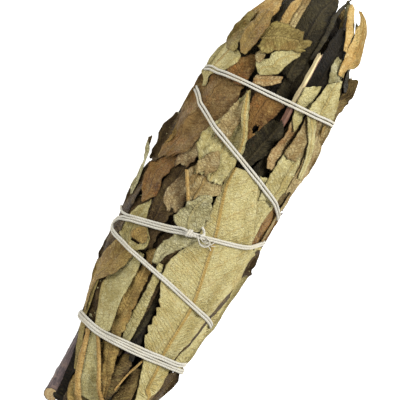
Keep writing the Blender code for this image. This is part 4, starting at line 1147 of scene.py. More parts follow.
def build_twig(surface):
    """The split twig: reddish bark on its hidden third, then mostly bare pale wood, with torn ends."""
    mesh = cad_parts["twig"].data
    points = np.array([v.co for v in mesh.vertices]) / MM
    points = points[np.argsort(points[:, 0])]
    start, end = points[:7].mean(axis=0), points[-7:].mean(axis=0)
    count = 60
    share = np.linspace(0, 1, count)
    line = start + (end - start) * share[:, None]
    line[:, 1] += 0.8
    line[:, 2] += 0.2 + 0.25 * np.sin(np.pi * share)
    turns = turns_of(ROD_SIDES)
    run = share * np.linalg.norm(end - start)
    size = 0.86 - 0.12 * share + 0.08 * noise(run, 0, 2.5, 7)
    rough = 0.09 * noise(run[:, None] * 0.3, turns[None] * 1.3, 0.5, 8)
    rough = rough + 0.04 * noise(run[:, None], turns[None], 0.6, 9)
    ring_size = size[:, None] * (1 + rough)
    facing = np.cos(turns + 1.0)[None]
    split_from = 1 - smooth_step(share, 0.3, 0.42)
    split = facing > -0.1 + 0.15 * noise(run[:, None], 0, 3.0, 10) + 1.3 * split_from[:, None]
    flat = size[:, None] * 0.45 / np.maximum(facing, 0.3)
    ring_size = np.where(split, np.minimum(ring_size, flat * (1 + rough)), ring_size)
    rings = rod_points(line, np.tile([0.0, 0.0, 1.0], (count, 1)), ring_size, ROD_SIDES)
    rings[0, :, 0] += 1.1 * noise(turns, 0, 0.5, 11)
    rings[-1, :, 0] += 0.9 * noise(turns, 3, 0.5, 12)
    faces = rod_faces(count, ROD_SIDES)
    bare = (split[:-1] & split[1:]).ravel()
    leaf = np.stack([run[:, None] * 0.2 + 0 * turns, turns + 0 * run[:, None], 0 * ring_size + 0.6], axis=-1)
    mark = np.stack([0 * ring_size, 0 * ring_size, 0 * ring_size + 3], axis=-1)
    wood = wood_material("split_wood", (232, 218, 168), (196, 168, 120))
    bark = bark_material("red_bark", (88, 52, 32), (112, 68, 44), (142, 98, 66))
    pieces = Pieces()
    pieces.add(rings, [(faces[bare], wood), (faces[~bare], bark)], leaf, mark)
    rod_caps(pieces, rings, size, wood, 77)
    surface.add(*from_space(rings))
    make_object("fine_twig", pieces, "twig")


# Strands

# Rounds in which a line is drawn tight; steps before a point that are still its own turn; and how far one
# turn sinks into another where they cross.
TIGHTENED = 50
OWN_STEPS = 30
CROSSING_SUNK = 0.06


def drawn_tight(lowest):
    """The lowest line over a lower bound that a taut string could follow."""
    line = lowest.copy()
    for _ in range(TIGHTENED):
        framed = np.pad(line, 2, mode="edge")
        mean = (framed[:-4] + framed[1:-3] + framed[2:-2] + framed[3:-1] + framed[4:]) / 5
        line = np.maximum(lowest, mean - STRING_STEP**2 / line)
    return line


def bed_of(surface, x, angle, slope, half_band):
    """The level of the leaves under a band of string, with single sharp edges pressed down."""
    reference = half_width(x)
    beside = np.linspace(-half_band, half_band, 7)
    side, forward = (g.ravel() for g in np.meshgrid(beside, np.linspace(-0.6, 0.6, 5)))
    near_x = x[:, None] + forward * slope[:, :1] - side * slope[:, 1:]
    near = angle[:, None] + np.degrees((forward * slope[:, 1:] + side * slope[:, :1]) / reference[:, None])
    return np.quantile(surface.radius[surface.cells(near_x, near)], BED_SHARE, axis=1)


def string_lines(surface, route, offsets):
    """Lays strands side by side along a route, over the leaves and over the earlier turns that they cross."""
    x, angle, slope = string_path(route)
    reference = half_width(x)
    half_band = max(abs(o) for o in offsets) + STRING_RADIUS
    over_leaves = bed_of(surface, x, angle, slope, half_band) + STRING_CLEAR + STRING_RADIUS
    flat = np.column_stack([x, np.radians(angle % 360) * reference])
    gap = np.abs(flat[:, None] - flat[None])
    gap[..., 1] = np.minimum(gap[..., 1], 2 * np.pi * reference[:, None] - gap[..., 1])
    steps = np.arange(len(x))
    meets = np.hypot(gap[..., 0], gap[..., 1]) < 2 * half_band
    earlier = meets & (steps[None] < steps[:, None] - OWN_STEPS)
    lowest = over_leaves
    for _ in range(5):
        radius = drawn_tight(lowest)
        under = np.where(earlier, radius[None], 0).max(axis=1)
        lowest = np.maximum(over_leaves, under + 2 * STRING_RADIUS - CROSSING_SUNK)
    return x, angle, slope, drawn_tight(lowest)


def add_strand(pieces, made, line, outward, radius, seed, start=0.0):
    """A two-ply strand: its section has two lobes that turn along it."""
    run = run_along(line)
    count = max(4, int(run[-1] / STRING_FINE_STEP))
    at = np.linspace(0, run[-1], count)
    line = np.column_stack([np.interp(at, run, line[:, k]) for k in range(3)])
    outward = np.column_stack([np.interp(at, run, outward[:, k]) for k in range(3)])
    size = np.interp(at, run, np.broadcast_to(radius, run.shape))
    turns = turns_of(STRING_SIDES)
    twist = 2 * np.pi * (at + start) / PLY_LENGTH + 0.6 * noise(at, 0, 6.0, seed)
    lobe = np.abs(np.cos(turns[None] - twist[:, None]))
    uneven = 0.05 * noise(at[:, None], turns[None], 0.9, seed + 1)
    uneven = uneven + 0.05 * noise(at, 0, 3.0, seed + 2)[:, None]
    ring_size = size[:, None] * (PLY_NARROW + PLY_LOBE * lobe + uneven)
    rings = rod_points(line, outward, ring_size, STRING_SIDES)
    leaf = np.stack([at[:, None] + 0 * turns, turns[None] + 0 * at[:, None], lobe], axis=-1)
    pieces.add(rings, closed_rod(count, STRING_SIDES, made), leaf, np.zeros_like(rings))


def moved_aside(x, angle, slope, offset):
    """The places beside a route, at an offset across it."""
    return x - offset * slope[:, 1], angle + np.degrees(offset * slope[:, 0] / half_width(x))


def build_string(surface):
    """The doubled string with its knot, loose ends and stray fibres."""
    cotton = string_material()
    rng = np.random.default_rng(5)
    pieces = Pieces()
    x, angle, slope, radius = string_lines(surface, STRING_ROUTE, (-STRAND_PITCH / 2, STRAND_PITCH / 2))
    run = np.arange(len(x)) * STRING_STEP
    apart = smooth_step(angle, *APART_FROM) * (1 - smooth_step(angle, *APART_TO))
    parted = 0.03 + 0.09 * apart + 0.03 * noise(run, 0, 9.0, 21) + 0.03 * noise(run, 0, 2.5, 22)
    for k, sign in enumerate((-1, 1)):
        sx, sa = moved_aside(x, angle, slope, sign * (STRAND_PITCH / 2 + parted - 0.02))
        sway = 0.05 * noise(run, 5.0 * sign, 3.0, 23 + k)
        line = to_space(sx, sa, pressed_in(sx, sa, radius + sway))
        add_strand(pieces, cotton, line, outward_at(sx, sa, radius), STRING_RADIUS, 30 + k, 0.4 * k)
        for aside in np.linspace(-STRING_RADIUS, STRING_RADIUS, 5):
            surface.add(*moved_aside(sx, sa, slope, aside), radius + STRING_RADIUS)
        for i in rng.integers(5, len(sx) - 5, FIBRES):
            add_fibre(pieces, cotton, line[i], outward_at(sx[i], sa[i], radius[i]), rng)
    level = radius[-1]
    ex, ea, eslope = string_path([(a, ex) for ex, a in EXTRA_STRAND])
    bed = bed_of(surface, ex, ea, eslope, STRING_RADIUS) + STRING_RADIUS + STRING_CLEAR
    eradius = drawn_tight(bed)
    eradius = level + (eradius - level) * np.clip(np.arange(len(ex)) / 6, 0, 1)
    eradius = pressed_in(ex, ea, eradius)
    add_strand(pieces, cotton, to_space(ex, ea, eradius), outward_at(ex, ea, eradius), STRING_RADIUS, 40)

    centre = to_space(*KNOT, level + 0.25)
    out = outward_at(*KNOT, level)
    ahead = np.array([-0.35, 1.0, 0.0])
    ahead = unit(ahead - out * (out @ ahead))
    beside = np.cross(out, ahead)
    turn = np.linspace(0, 2 * np.pi * KNOT_TURNS, 60)
    wide = 0.62 + 0.10 * np.sin(3 * turn)
    knot_line = (
        centre
        + ahead * ((turn / turn[-1] - 0.5) * 1.5 + 0.2 * np.sin(turn))[:, None]
        + (out * (0.8 * wide * np.cos(turn))[:, None])
        + beside * (1.15 * wide * np.sin(turn))[:, None]
    )
    add_strand(pieces, cotton, knot_line, knot_line - centre + 0.01 * out, STRING_RADIUS, 41)
    for k, (places, size) in enumerate(LOOSE_ENDS):
        share = np.linspace(0, 1, 24)
        tx, ty = along_points(outline(*places), share).T
        ta = angle_seen(ty - side_shift(tx), level)
        bed = surface.spread(2, 2)[surface.cells(tx, ta)] + size + 0.1
        tr = level + 0.2 + (np.maximum(bed, bed.mean()) - level - 0.2) * smooth_step(share, 0, 0.5)
        if k == LOOP:
            tr = tr + LOOP_HIGH * np.sin(np.pi * share)
        add_strand(pieces, cotton, to_space(tx, ta, tr), outward_at(tx, ta, tr), size, 50 + k)
    make_object("fine_string", pieces, "string")


def add_fibre(pieces, made, place, outward, rng):
    """A stray cotton fibre that stands off the string."""
    length = rng.uniform(*FIBRE_LENGTHS)
    lean = unit(rng.normal(size=3))
    share = np.linspace(0, 1, 4)[:, None]
    way = outward * 0.5 + lean
    line = place + outward * STRING_RADIUS * 0.8 + share * way * length + share**2 * rng.normal(size=3) * 0.4
    aside = np.tile(np.cross(way, [0.3, 0.5, 0.8]), (4, 1))
    rings = rod_points(line, aside, FIBRE_RADIUS * (1.2 - share[:, 0]), 3)
    pieces.add(rings, [(rod_faces(4, 3), made)], np.full_like(rings, 0.8), np.zeros_like(rings))


# Leaves, in the order in which they lie on one another.

BLADES = [
    # Packed inner layer.
    Blade("leaf_01_olive", "olive", path=[(-46, 180), (62, 172)], width=14, tip=0.2, hidden=True),
    Blade("leaf_02_brown", "brown", path=[(-48, 135), (59, 140)], width=14, tip=0.15, hidden=True),
    Blade("leaf_03_pale", "pale", path=[(-44, -142), (61, -146)], width=14, hidden=True),
    Blade("leaf_04_brown", "brown", path=[(-42, 99), (57, 92)], width=12, tip=0.3, hidden=True),
    Blade("leaf_05_olive", "olive", path=[(-42, -100), (59, -96)], width=13, tip=0.15, hidden=True),
    Blade(
        "leaf_05_olive", "darkbrown", ruffle=0.4, ragged=0.3,
        upper=[(4, -31), (20, -35), (36, -37), (54, -40)],
        lower=[(4, -36), (20, -46), (36, -51.5), (44, -53), (54, -50)],
    ),
    Blade(
        "leaf_05_olive", "darkbrown", ruffle=0.4, ragged=0.35, rib_high=0, veins=0,
        upper=[(244, -49), (262, -50), (275, -51), (288, -53)],
        lower=[(244, -60), (262, -61), (275, -61), (288, -62)],
    ),
    Blade("leaf_06_brown", "darkbrown", path=[(-38, 52), (16, 48)], width=11, hidden=True),
    Blade("leaf_07_olive", "olive", path=[(8, 52), (62, 38)], width=13, tip=0.3, tear=1.0),
    Blade("leaf_08_pale", "brown", path=[(-38, -50), (28, -58)], width=12, hidden=True),
    Blade("leaf_09_brown", "darkbrown", path=[(-16, 22), (34, 14)], width=12, tip=0.4, base=0.4),
    Blade(
        "leaf_10_olive", "olive", rib=0.45, ragged=0.2, veins=5, tear=0.5, crease=0.3,
        upper=[(362, 9), (385, 11), (402, 15), (425, 16), (442, 14), (455, 2), (458, -4)],
        lower=[(362, -10), (385, -12), (402, -13), (425, -13.5), (442, -14), (455, -12), (459, -7)],
    ),
    Blade(
        "leaf_11_olive", "black", rib=0.4, ruffle=0.3, tear=0.5, crease=0.35,
        upper=[(325, -20), (368, -21), (395, -22), (415, -22), (434, -26)],
        lower=[(325, -38), (368, -41), (395, -42), (415, -41), (432, -36)],
    ),
    Blade(
        "leaf_10_olive", "olive", rib=0.5, rib_high=0, ruffle=0.5, ruffle_length=5, ragged=0.3, lift=0.3,
        curl_upper=0.5,
        upper=[(390, -12), (410, -13.5), (425, -13.5), (440, -12), (455, -17), (466, -21.5)],
        lower=[(390, -16), (410, -18), (425, -19), (440, -17), (455, -20), (467, -23)],
    ),
    # Underneath and on the sides.
    Blade("leaf_12_pale", "pale", path=[(-50, -170), (-14, -160), (30, -166)], width=16),
    Blade("leaf_13_brown", "chestnut", path=[(-30, 150), (12, 158), (48, 150)], width=14, tip=0.4, tear=1.2),
    Blade("leaf_14_tan", "tan", path=[(-52, 118), (-20, 112), (14, 122)], width=12),
    Blade("leaf_15_pale", "palegreen", path=[(-6, 112), (26, 108), (57, 118)], width=13, tip=0.12),
    Blade("leaf_16_brown", "brown", path=[(-50, -128), (-22, -122), (8, -130)], width=13, tip=0.3, tear=1.0),
    Blade(
        "leaf_16_brown", "rust", ruffle=0.4, ragged=0.35, rib_high=0, veins=0, tear=0.6,
        upper=[(194, -47), (206, -48), (216, -47), (228, -48), (242, -50)],
        lower=[(194, -60), (206, -61), (216, -61), (228, -61), (242, -61)],
    ),
    Blade("leaf_17_pale", "pale", path=[(0, -122), (30, -118), (60, -124)], width=13),
    Blade(
        "leaf_17_pale", "wrinkled", ruffle=0.2, ragged=0.15, rib_high=0, veins=0, pleats=(0.3, 1.8),
        upper=[(286, -50), (310, -48), (340, -46), (368, -48)],
        lower=[(286, -62), (310, -64.5), (340, -64), (368, -62)],
    ),
    Blade(
        "leaf_17_pale", "wrinkled", ruffle=0.2, ragged=0.15, rib_high=0, veins=0, lift=0.1,
        upper=[(206, -60), (218, -58.5), (236, -59.5), (262, -60), (290, -60)],
        lower=[(206, -62.5), (218, -63), (236, -63.5), (262, -63), (275, -64), (290, -67)],
    ),
    Blade(
        "leaf_18_brown", "brown", path=[(-40, 84), (-20, 86), (6, 84)], width=9, tip=0.5, ruffle=0.3,
        tear=0.8, lift=-0.5,
    ),
    Blade(
        "leaf_18_brown", "darkbrown", ragged=0.35, tear=0.8, rib_high=0, curl_upper=0, ruffle=0.1,
        upper=[(108, 75), (118, 79), (132, 79.5), (148, 79.5)],
        lower=[(108, 68), (118, 66), (132, 66), (148, 68)],
    ),
    # The cut end and the +Y side.
    Blade(
        "leaf_19_pale", "pale", path=[(-39, -77), (-22, -79), (-2, -76)], width=13, base=0.4, tip=0.3,
        crease=0.2,
    ),
    Blade(
        "leaf_19_pale", "pale", crease=0.15, rib_high=0, ragged=0.1, ruffle=0.1,
        upper=[(52, -36), (80, -38), (110, -42), (140, -48), (172, -53)],
        lower=[(52, -49), (62, -51), (80, -53), (100, -56), (120, -60), (140, -61), (160, -63), (172, -64)],
    ),
    Blade(
        "leaf_24_olive", "mustard", rib=0.6, rib_high=0.3, ruffle=0.3, curl_lower=0.35,
        upper=[(6, 45), (25, 53), (45, 60), (60, 64), (80, 67), (102, 69)],
        lower=[(6, 40), (25, 46.5), (45, 54), (60, 60), (80, 63), (102, 66)],
    ),
    Blade(
        "leaf_21_brown", "darkbrown", path=[(-43, 16), (-24, 15), (-5, 8)], width=9, base=0.5, tip=0.5,
        ruffle=0.5, crease=0.5, lift=-0.9,
    ),
    Blade(
        "leaf_20_pale", "palegreen", ragged=0.15, ruffle=0.35, curl_upper=0.3, pleats=(0.4, 1.7), rib_high=0,
        upper=[(48, 17), (70, 20), (90, 20.5), (110, 19.5), (130, 21), (140, 22)],
        lower=[(48, 8), (70, 9.5), (90, 9), (110, 11), (130, 13), (140, 16)],
    ),
    Blade(
        "leaf_21_brown", "twisted", rib=0.5, ruffle=0.8, ruffle_length=4.5, ragged=0.3, crease=0.8,
        pleats=(0.7, 2.2),
        upper=[(-6, 8), (8, 15), (30, 26), (45, 33), (58, 33), (75, 35), (95, 37), (115, 37), (150, 37)],
        lower=[(-6, 2), (8, 4), (30, 10), (45, 14), (58, 18), (75, 20), (95, 21), (115, 22), (150, 26)],
    ),
    Blade(
        "leaf_23_pale", "palegreen", rib=0.93, rib_high=0.3, ragged=0.1, crease=0.15, veins=0, curl_lower=0.3,
        upper=[
            (-14, 33), (0, 40), (20, 46), (45, 49), (58, 49), (70, 53), (80, 57), (95, 61), (118, 60),
            (140, 52),
        ],
        lower=[(-14, 5), (0, 12), (20, 22), (45, 36), (57, 31), (75, 34), (95, 36), (118, 35), (140, 38)],
    ),
    Blade(
        "leaf_22_pale", "tan", rib_high=0.3, ragged=0.03, veins=0, ruffle=0.05, crease=0.05, lift=-1.2,
        upper=[(6, -0.5), (20, -3), (30, -5.5), (48, -11.5)],
        lower=[(6, -2.5), (20, -5), (30, -8), (48, -14)],
    ),
    Blade(
        "leaf_22_pale", "tan", rib_high=0.6, rib_wide=0.6, ragged=0.05, veins=0, ruffle=0.1, crease=0.1,
        upper=[(-18, -1), (0, 15.5), (25, 29), (47, 42)],
        lower=[(-16, -7), (0, 10), (25, 24), (47, 37.5)],
    ),
    Blade(
        "leaf_22_pale", "tan", rib_high=0.6, rib_wide=0.7, ragged=0.05, veins=0, ruffle=0.1, crease=0.1,
        upper=[(-24, 26), (0, 40.5), (20, 47), (48, 54)],
        lower=[(-22, 20), (0, 34), (20, 40.5), (48, 49)],
    ),
    Blade(
        "leaf_25_brown", "twisted", rib=0.35, ragged=0.2, ruffle=0.3, curl_upper=0, curl_lower=0.5,
        crease=0.3,
        upper=[(62, 64.5), (80, 69.5), (95, 73), (103, 76), (116, 76.5), (130, 73), (144, 66)],
        lower=[(62, 62.5), (80, 66), (95, 67), (100, 62), (110, 54), (120, 50), (144, 45)],
    ),
    Blade(
        "leaf_26_brown", "darkbrown", rib=0.5, ragged=0.3, crease=0.45, tear=0.8, pleats=(0.35, 3.0),
        upper=[(148, 52), (172, 56), (190, 57), (215, 57), (250, 53)],
        lower=[(148, 33), (172, 35), (190, 33), (205, 30), (225, 33), (250, 33)],
    ),
    Blade(
        "leaf_26_brown", "crumb", rib_high=0, ragged=0.45, crease=0.5, tear=0.8, ruffle=0.5, veins=0,
        lift=0.25,
        upper=[(190, 40), (196, 47), (205, 50), (215, 48), (228, 44)],
        lower=[(190, 31), (198, 27), (207, 28), (216, 31), (228, 38)],
    ),
    Blade(
        "leaf_27_pale", "palegreen", rib=0.6, ragged=0.2, curl_lower=0.6, base_lift=0.7, ruffle=0.4, tear=0.4,
        holes=((149.5, 50, 5.0, 9),),
        upper=[(138.5, 57), (141, 63), (146, 69), (152, 71.5), (162, 71), (172, 70), (182, 66), (190, 58)],
        lower=[(138.5, 52), (140, 46), (144, 40), (150, 39), (157, 41), (163, 46), (172, 54), (190, 57)],
    ),
    Blade(
        "leaf_27_pale", "golden", ragged=0.1, crease=0.3, lift=0.3, rib_high=0, veins=0, curl_lower=0.6,
        upper=[(149, 59), (154, 61), (161, 57), (164, 52)],
        lower=[(148, 45), (152, 42), (158, 43.5), (164, 49)],
    ),
    Blade(
        "leaf_28_brown", "darkbrown", ruffle=0.4, ragged=0.4, tear=0.6, lift=0.1, rib_high=0,
        upper=[(150, 77), (168, 79.5), (185, 82.5), (207, 81), (225, 79)],
        lower=[(150, 70), (168, 71), (185, 72), (207, 73), (225, 74)],
    ),
    Blade(
        "leaf_28_brown", "rust", rib=0.4, ragged=0.2, ruffle=0.3, curl_lower=0.4, crease=0.3,
        upper=[(185, 66), (193, 70), (200, 73.5), (210, 76.5), (222, 76.5), (232, 71), (238, 63), (248, 54)],
        lower=[(185, 64), (192, 60), (197, 55), (206, 56), (215, 58), (225, 55), (235, 53), (248, 52)],
    ),
    Blade(
        "leaf_29_brown", "crumb", rib_high=0, ragged=0.45, crease=0.5, tear=0.8, ruffle=0.5, veins=0,
        upper=[(236, 52), (250, 56), (262, 52), (270, 46)],
        lower=[(236, 42), (246, 37), (256, 39), (270, 42)],
    ),
    Blade(
        "leaf_29_brown", "darkbrown", ragged=0.4, tear=0.6, rib_high=0, veins=0, ruffle=0.1, curl_upper=0,
        upper=[(226, 79), (236, 80.5), (245, 79), (253, 82.5), (263, 83), (269, 80.5), (280, 79)],
        lower=[(226, 72), (245, 72), (263, 72), (280, 72)],
    ),
    Blade(
        "leaf_29_brown", "chestnut", rib=0.45, ragged=0.3, ruffle=0.3, crease=0.25, tear=0.8, veins=6.5,
        upper=[
            (234, 73), (250, 77.5), (270, 77.5), (290, 77), (310, 76), (325, 75), (334, 70), (345, 60),
            (367, 41),
        ],
        lower=[
            (238, 62), (250, 49), (262, 46), (275, 45), (288, 36), (300, 32), (318, 29.5), (338, 33),
            (367, 34),
        ],
    ),
    Blade(
        "leaf_29_brown", "rust", rib_high=0, ragged=0.25, ruffle=0.3, crease=0.4, lift=0.15, tear=0.4,
        upper=[(334, 54), (345, 53), (356, 49), (368, 38)],
        lower=[(334, 34), (345, 31), (356, 31), (368, 35)],
    ),
    Blade(
        "leaf_30_olive", "grey", path=[(-6, 75), (3, 78), (9.4, 83)], width=3.6, base=0.4, tip_lift=2.6,
        ragged=0.05, lift=0.2, ruffle=0.03, crease=0.08, curl_upper=0, curl_lower=0,
    ),
    # The -Y side and the tip end.
    Blade(
        "leaf_31_pale", "palegreen", rib_high=0, veins=0, pleats=(0.5, 1.5), ragged=0.2, ruffle=0.3, tear=0.5,
        upper=[(200, -36), (218, -34), (235, -31), (250, -27), (264, -26)],
        lower=[(200, -51), (214, -50.5), (228, -50), (245, -51.5), (264, -53)],
    ),
    Blade(
        "leaf_31_pale", "wrinkled", rib_high=0, veins=0, pleats=(0.3, 1.5), ragged=0.2, ruffle=0.3, tear=0.5,
        upper=[(262, -56), (280, -56), (300, -55), (325, -55)],
        lower=[(262, -62), (280, -65), (295, -68.5), (312, -68), (325, -64)],
    ),
    Blade(
        "leaf_32_brown", "brown", ruffle=0.5, crease=0.5, tear=0.8, ragged=0.3,
        upper=[(330, -61), (345, -61), (365, -60), (380, -57), (395, -55)],
        lower=[(330, -64), (345, -65), (365, -67), (380, -68), (395, -68.5)],
    ),
    Blade(
        "leaf_32_brown", "grey", ruffle=0.5, crease=0.5, tear=0.8, ragged=0.35, rib_high=0,
        upper=[(376, -40), (385, -38), (395, -36), (403, -37)],
        lower=[(376, -50), (388, -51), (395, -49), (403, -43)],
    ),
    Blade(
        "leaf_33_olive", "olive", rib=0.4, ragged=0.2, crease=0.4, tear=0.5, pleats=(0.4, 2.5),
        upper=[(264, 2), (275, 1), (285, 3), (293, 3), (303, -1), (312, -5), (321, -10)],
        lower=[(264, -11), (275, -15), (285, -21), (300, -25), (316, -25), (321, -20)],
    ),
    Blade(
        "leaf_34_brown", "rust", rib=0.5, ragged=0.2, crease=0.35, curl_lower=0.4,
        holes=((303, 1, 6.0, 3.4),),
        upper=[(287, 6), (297, 8), (305, 10.5), (312, 14), (320, 17.5), (337, 19), (340, 5)],
        lower=[(287, 4), (299, -2), (308, -4), (315, -7), (325, -10.5), (337, -13), (340, -12)],
    ),
    Blade(
        "leaf_35_pale", "orange", ragged=0.2, ruffle=0.4, crease=0.35, tear=0.5, pleats=(0.3, 1.6),
        rib_high=0,
        upper=[(274, -28), (282, -24), (290, -23), (305, -25.5), (318, -27), (330, -26)],
        lower=[(274, -33), (285, -35), (295, -36), (308, -36.5), (320, -38), (330, -34)],
    ),
    Blade(
        "leaf_35_pale", "palegreen", ragged=0.15, tear=0.5, lift=0.1, crease=0.3, rib_high=0, veins=0,
        upper=[(321, -31), (330, -26), (345, -22), (366, -22)],
        lower=[(321, -34), (335, -37), (350, -37.5), (370, -37)],
    ),
    Blade(
        "leaf_36_pale", "palegreen", rib=0.3, ragged=0.2, ruffle=0.5, crease=0.4, tear=0.5,
        pleats=(0.55, 2.2),
        upper=[(244, -36), (262, -34), (280, -34.5), (298, -36)],
        lower=[(244, -52), (262, -55), (280, -55), (298, -53)],
    ),
    Blade(
        "leaf_36_pale", "wrinkled", ragged=0.2, ruffle=0.4, crease=0.4, tear=0.4, pleats=(0.4, 2.0),
        rib_high=0,
        upper=[(293, -36), (310, -37.5), (330, -38), (349, -37)],
        lower=[(293, -49), (310, -51), (325, -50), (349, -44)],
    ),
    Blade(
        "leaf_36_pale", "palegreen", ragged=0.1, lift=0.2, curl_upper=0.5, rib_high=0.3,
        upper=[(280, -60), (300, -57), (312, -53.5), (325, -46.5), (338, -38.5), (348, -35)],
        lower=[(280, -64), (300, -62.5), (315, -60), (330, -54), (342, -46), (350, -42)],
    ),
    Blade(
        "leaf_36_pale", "palegreen", rib=0.55, ragged=0.2, tear=0.6, lift=0.25, crease=0.35,
        upper=[(342, -37), (352, -36), (365, -38), (377, -41), (382, -46)],
        lower=[(342, -61), (350, -63), (360, -61), (375, -57), (385, -53)],
    ),
    Blade(
        "leaf_37_tan", "yellow", ragged=0.08, curl_upper=0.5, curl_lower=0.3,
        upper=[(390, -45), (398, -43.5), (405, -42), (420, -41.5), (430, -41), (445, -37), (457, -32)],
        lower=[(390, -57), (400, -59), (412, -57.5), (420, -55), (440, -48.5), (452, -40.5), (458, -32.5)],
    ),
    Blade(
        "leaf_37_tan", "yellow", ragged=0.12, curl_upper=0.4, lift=0.2,
        upper=[(414, -38), (425, -34.5), (435, -29.5), (443, -26), (450, -23.5), (459, -22.5)],
        lower=[(414, -41), (425, -41.5), (433, -39.5), (445, -34), (457, -30), (460, -23.5)],
    ),
    Blade(
        "leaf_38_tan", "tan", ragged=0.25, tear=0.7, ruffle=0.4, crease=0.4,
        upper=[(394, 60), (405, 61), (415, 58), (425, 53), (432, 46)],
        lower=[(394, 44), (408, 41), (420, 38), (432, 40)],
    ),
    Blade(
        "leaf_39_pale", "tan", rib=0.35, ragged=0.12, tear=0.5, crease=0.3,
        upper=[(404, 32), (420, 32), (432, 31), (446, 24)],
        lower=[(404, 22), (425, 22), (437, 20), (447, 21)],
    ),
    Blade(
        "leaf_39_pale", "wrinkled", ragged=0.1, tear=0.4, rib_high=0.3,
        upper=[(402, 22), (425, 20.5), (442, 19.5), (450, 17.5)],
        lower=[(402, 15.5), (425, 15), (442, 14.5), (450, 15)],
    ),
    # The large pale leaf, and the scraps over it.
    # A dark strip laid under the large leaf that shows as a thin dark line along its lower edge: partly painted
    # shade for the gap under that edge, partly a brown leaf margin.
    Blade(
        "leaf_40_pale", "darkbrown", rib_high=0, ragged=0.15, crease=0.3, veins=0,
        upper=[(58, -34), (80, -37), (112, -41), (130, -44), (155, -47), (175, -52), (188, -58), (198, -61)],
        lower=[
            (58, -38), (75, -42), (81, -45.3), (95, -47.8), (112, -51), (122, -53.3), (130, -55.5),
            (145, -59), (155, -61.5), (165, -63.5), (173, -64.8), (183, -65.3), (192, -64), (199, -62),
        ],
    ),
    Blade(
        "leaf_40_pale", "pale", rib_high=0.42, rib_wide=0.42, veins=4.4, ragged=0.15, crease=0.12, ruffle=0.2,
        upper=[
            (-8, -29), (0, -27), (15, -23), (30, -18), (45, -13), (60, -6), (70, -1.5), (72, -3.5), (80, 0),
            (82, -2.5), (90, 0), (92.5, -2.5), (99, 2.5), (101.5, -1.5), (107, 4.5), (109, 3), (120, 9),
            (130, 13), (140, 14.5), (150, 13), (158, 9.5), (165, 6), (172, 3), (180, 0), (200, 0), (215, 1),
            (230, 2), (245, 3), (257, 2),
        ],
        midrib=[
            (-10, -31), (10, -30), (47, -29), (62, -27.5), (90, -28.5), (120, -29), (140, -26), (155, -23),
            (170, -20), (190, -16), (200, -13), (215, -8), (225, -5), (240, -1), (260, 0),
        ],
        lower=[
            (-8, -33), (10, -34.5), (30, -37), (62, -38.5), (75, -41), (81, -43.5), (95, -45.5), (112, -48.3),
            (122, -50.3), (130, -52), (145, -55.3), (155, -57.8), (165, -59.5), (175, -61), (193, -61),
            (199, -52), (208, -49), (218, -45), (228, -41), (240, -35.5), (250, -31), (258, -27), (264, -23),
        ],
    ),
    Blade(
        "leaf_43_pale", "grey", ragged=0.3, crease=0.9, ruffle=0.5, veins=1.6, pleats=(0.9, 1.3), rib_high=0,
        upper=[(137, 28), (148, 29), (160, 27), (172, 21), (183, 8)],
        lower=[(137, 23), (150, 17), (160, 11), (172, 0), (183, -3)],
    ),
    Blade(
        "leaf_42_pale", "wrinkled", ragged=0.25, crease=0.8, ruffle=0.5, tear=0.5, pleats=(0.6, 2.2),
        upper=[(206, 24), (220, 34), (233, 41), (245, 37), (262, 34)],
        lower=[(206, 19), (214, 12), (222, 5), (227, 1), (232, 0), (243, 3), (262, 1)],
    ),
    Blade(
        "leaf_42_pale", "palegreen", rib=0.4, ragged=0.3, crease=0.8, ruffle=0.6, tear=0.7, pleats=(0.7, 2.3),
        rib_high=0.1,
        upper=[(236, 32), (250, 37), (262, 46), (275, 46), (290, 40), (300, 33), (312, 32), (331, 26)],
        lower=[(236, 5), (250, 2), (265, 1.5), (280, 1), (290, 3), (300, 8), (312, 13), (332, 23)],
    ),
    Blade(
        "leaf_42_pale", "wrinkled", ragged=0.4, crease=0.7, lift=0.1, rib_high=0, veins=0, tear=0.6,
        pleats=(0.5, 1.6),
        upper=[(276, 33), (290, 36), (303, 35), (320, 31)],
        lower=[(276, 22), (290, 19), (300, 17), (320, 22)],
    ),
    Blade(
        "leaf_42_pale", "wrinkled", ragged=0.3, crease=0.6, lift=0.1, rib_high=0, veins=0, tear=0.6,
        pleats=(0.5, 1.8),
        upper=[(238, 33), (247, 36), (256, 33), (263, 27)],
        lower=[(238, 22), (246, 17), (255, 14), (264, 17)],
    ),
    Blade(
        "leaf_42_pale", "pale", ragged=0.1, lift=0.3, rib_high=0.5, rib_wide=0.7, veins=0, curl_upper=0.3,
        upper=[(274, 6), (285, 9), (295, 13.5), (310, 21.5), (330, 27)],
        lower=[(274, 1), (290, 3), (300, 8), (312, 14), (330, 23)],
    ),
    Blade(
        "leaf_42_pale", "tan", ragged=0.05, lift=0.25, rib_high=0.5, rib_wide=0.5, veins=0,
        upper=[(205, 25.5), (220, 35), (234, 43.5)],
        lower=[(206, 22), (221, 31), (235, 39.5)],
    ),
    Blade(
        "leaf_41_pale", "grey", rib_high=0.25, rib_wide=0.3, teeth=0.6, tooth_length=2.2, ragged=0.15,
        crease=0.35, curl_lower=0.35, veins=2.6,
        upper=[
            (180, 14), (180.5, 25), (184, 28), (190, 29.5), (200, 26), (208, 24), (214, 19), (221, 14),
            (223, 8),
        ],
        midrib=[(180, 11), (190, 14.5), (205, 15.5), (215, 12), (223, 7)],
        lower=[
            (180, 9), (184, 3.5), (188, -0.5), (192, -2), (198, 0), (202, -2.5), (207, -1), (215, 1),
            (223, 6),
        ],
    ),
    Blade(
        "leaf_44_tan", "pale", rib_high=0.1, veins=0, ragged=0.15, crease=0.4, ruffle=0.35, curl_lower=0.4,
        tear=0.4,
        upper=[(316, 76), (330, 76), (345, 75.5), (358, 73), (366, 68.5), (374, 66), (382, 62)],
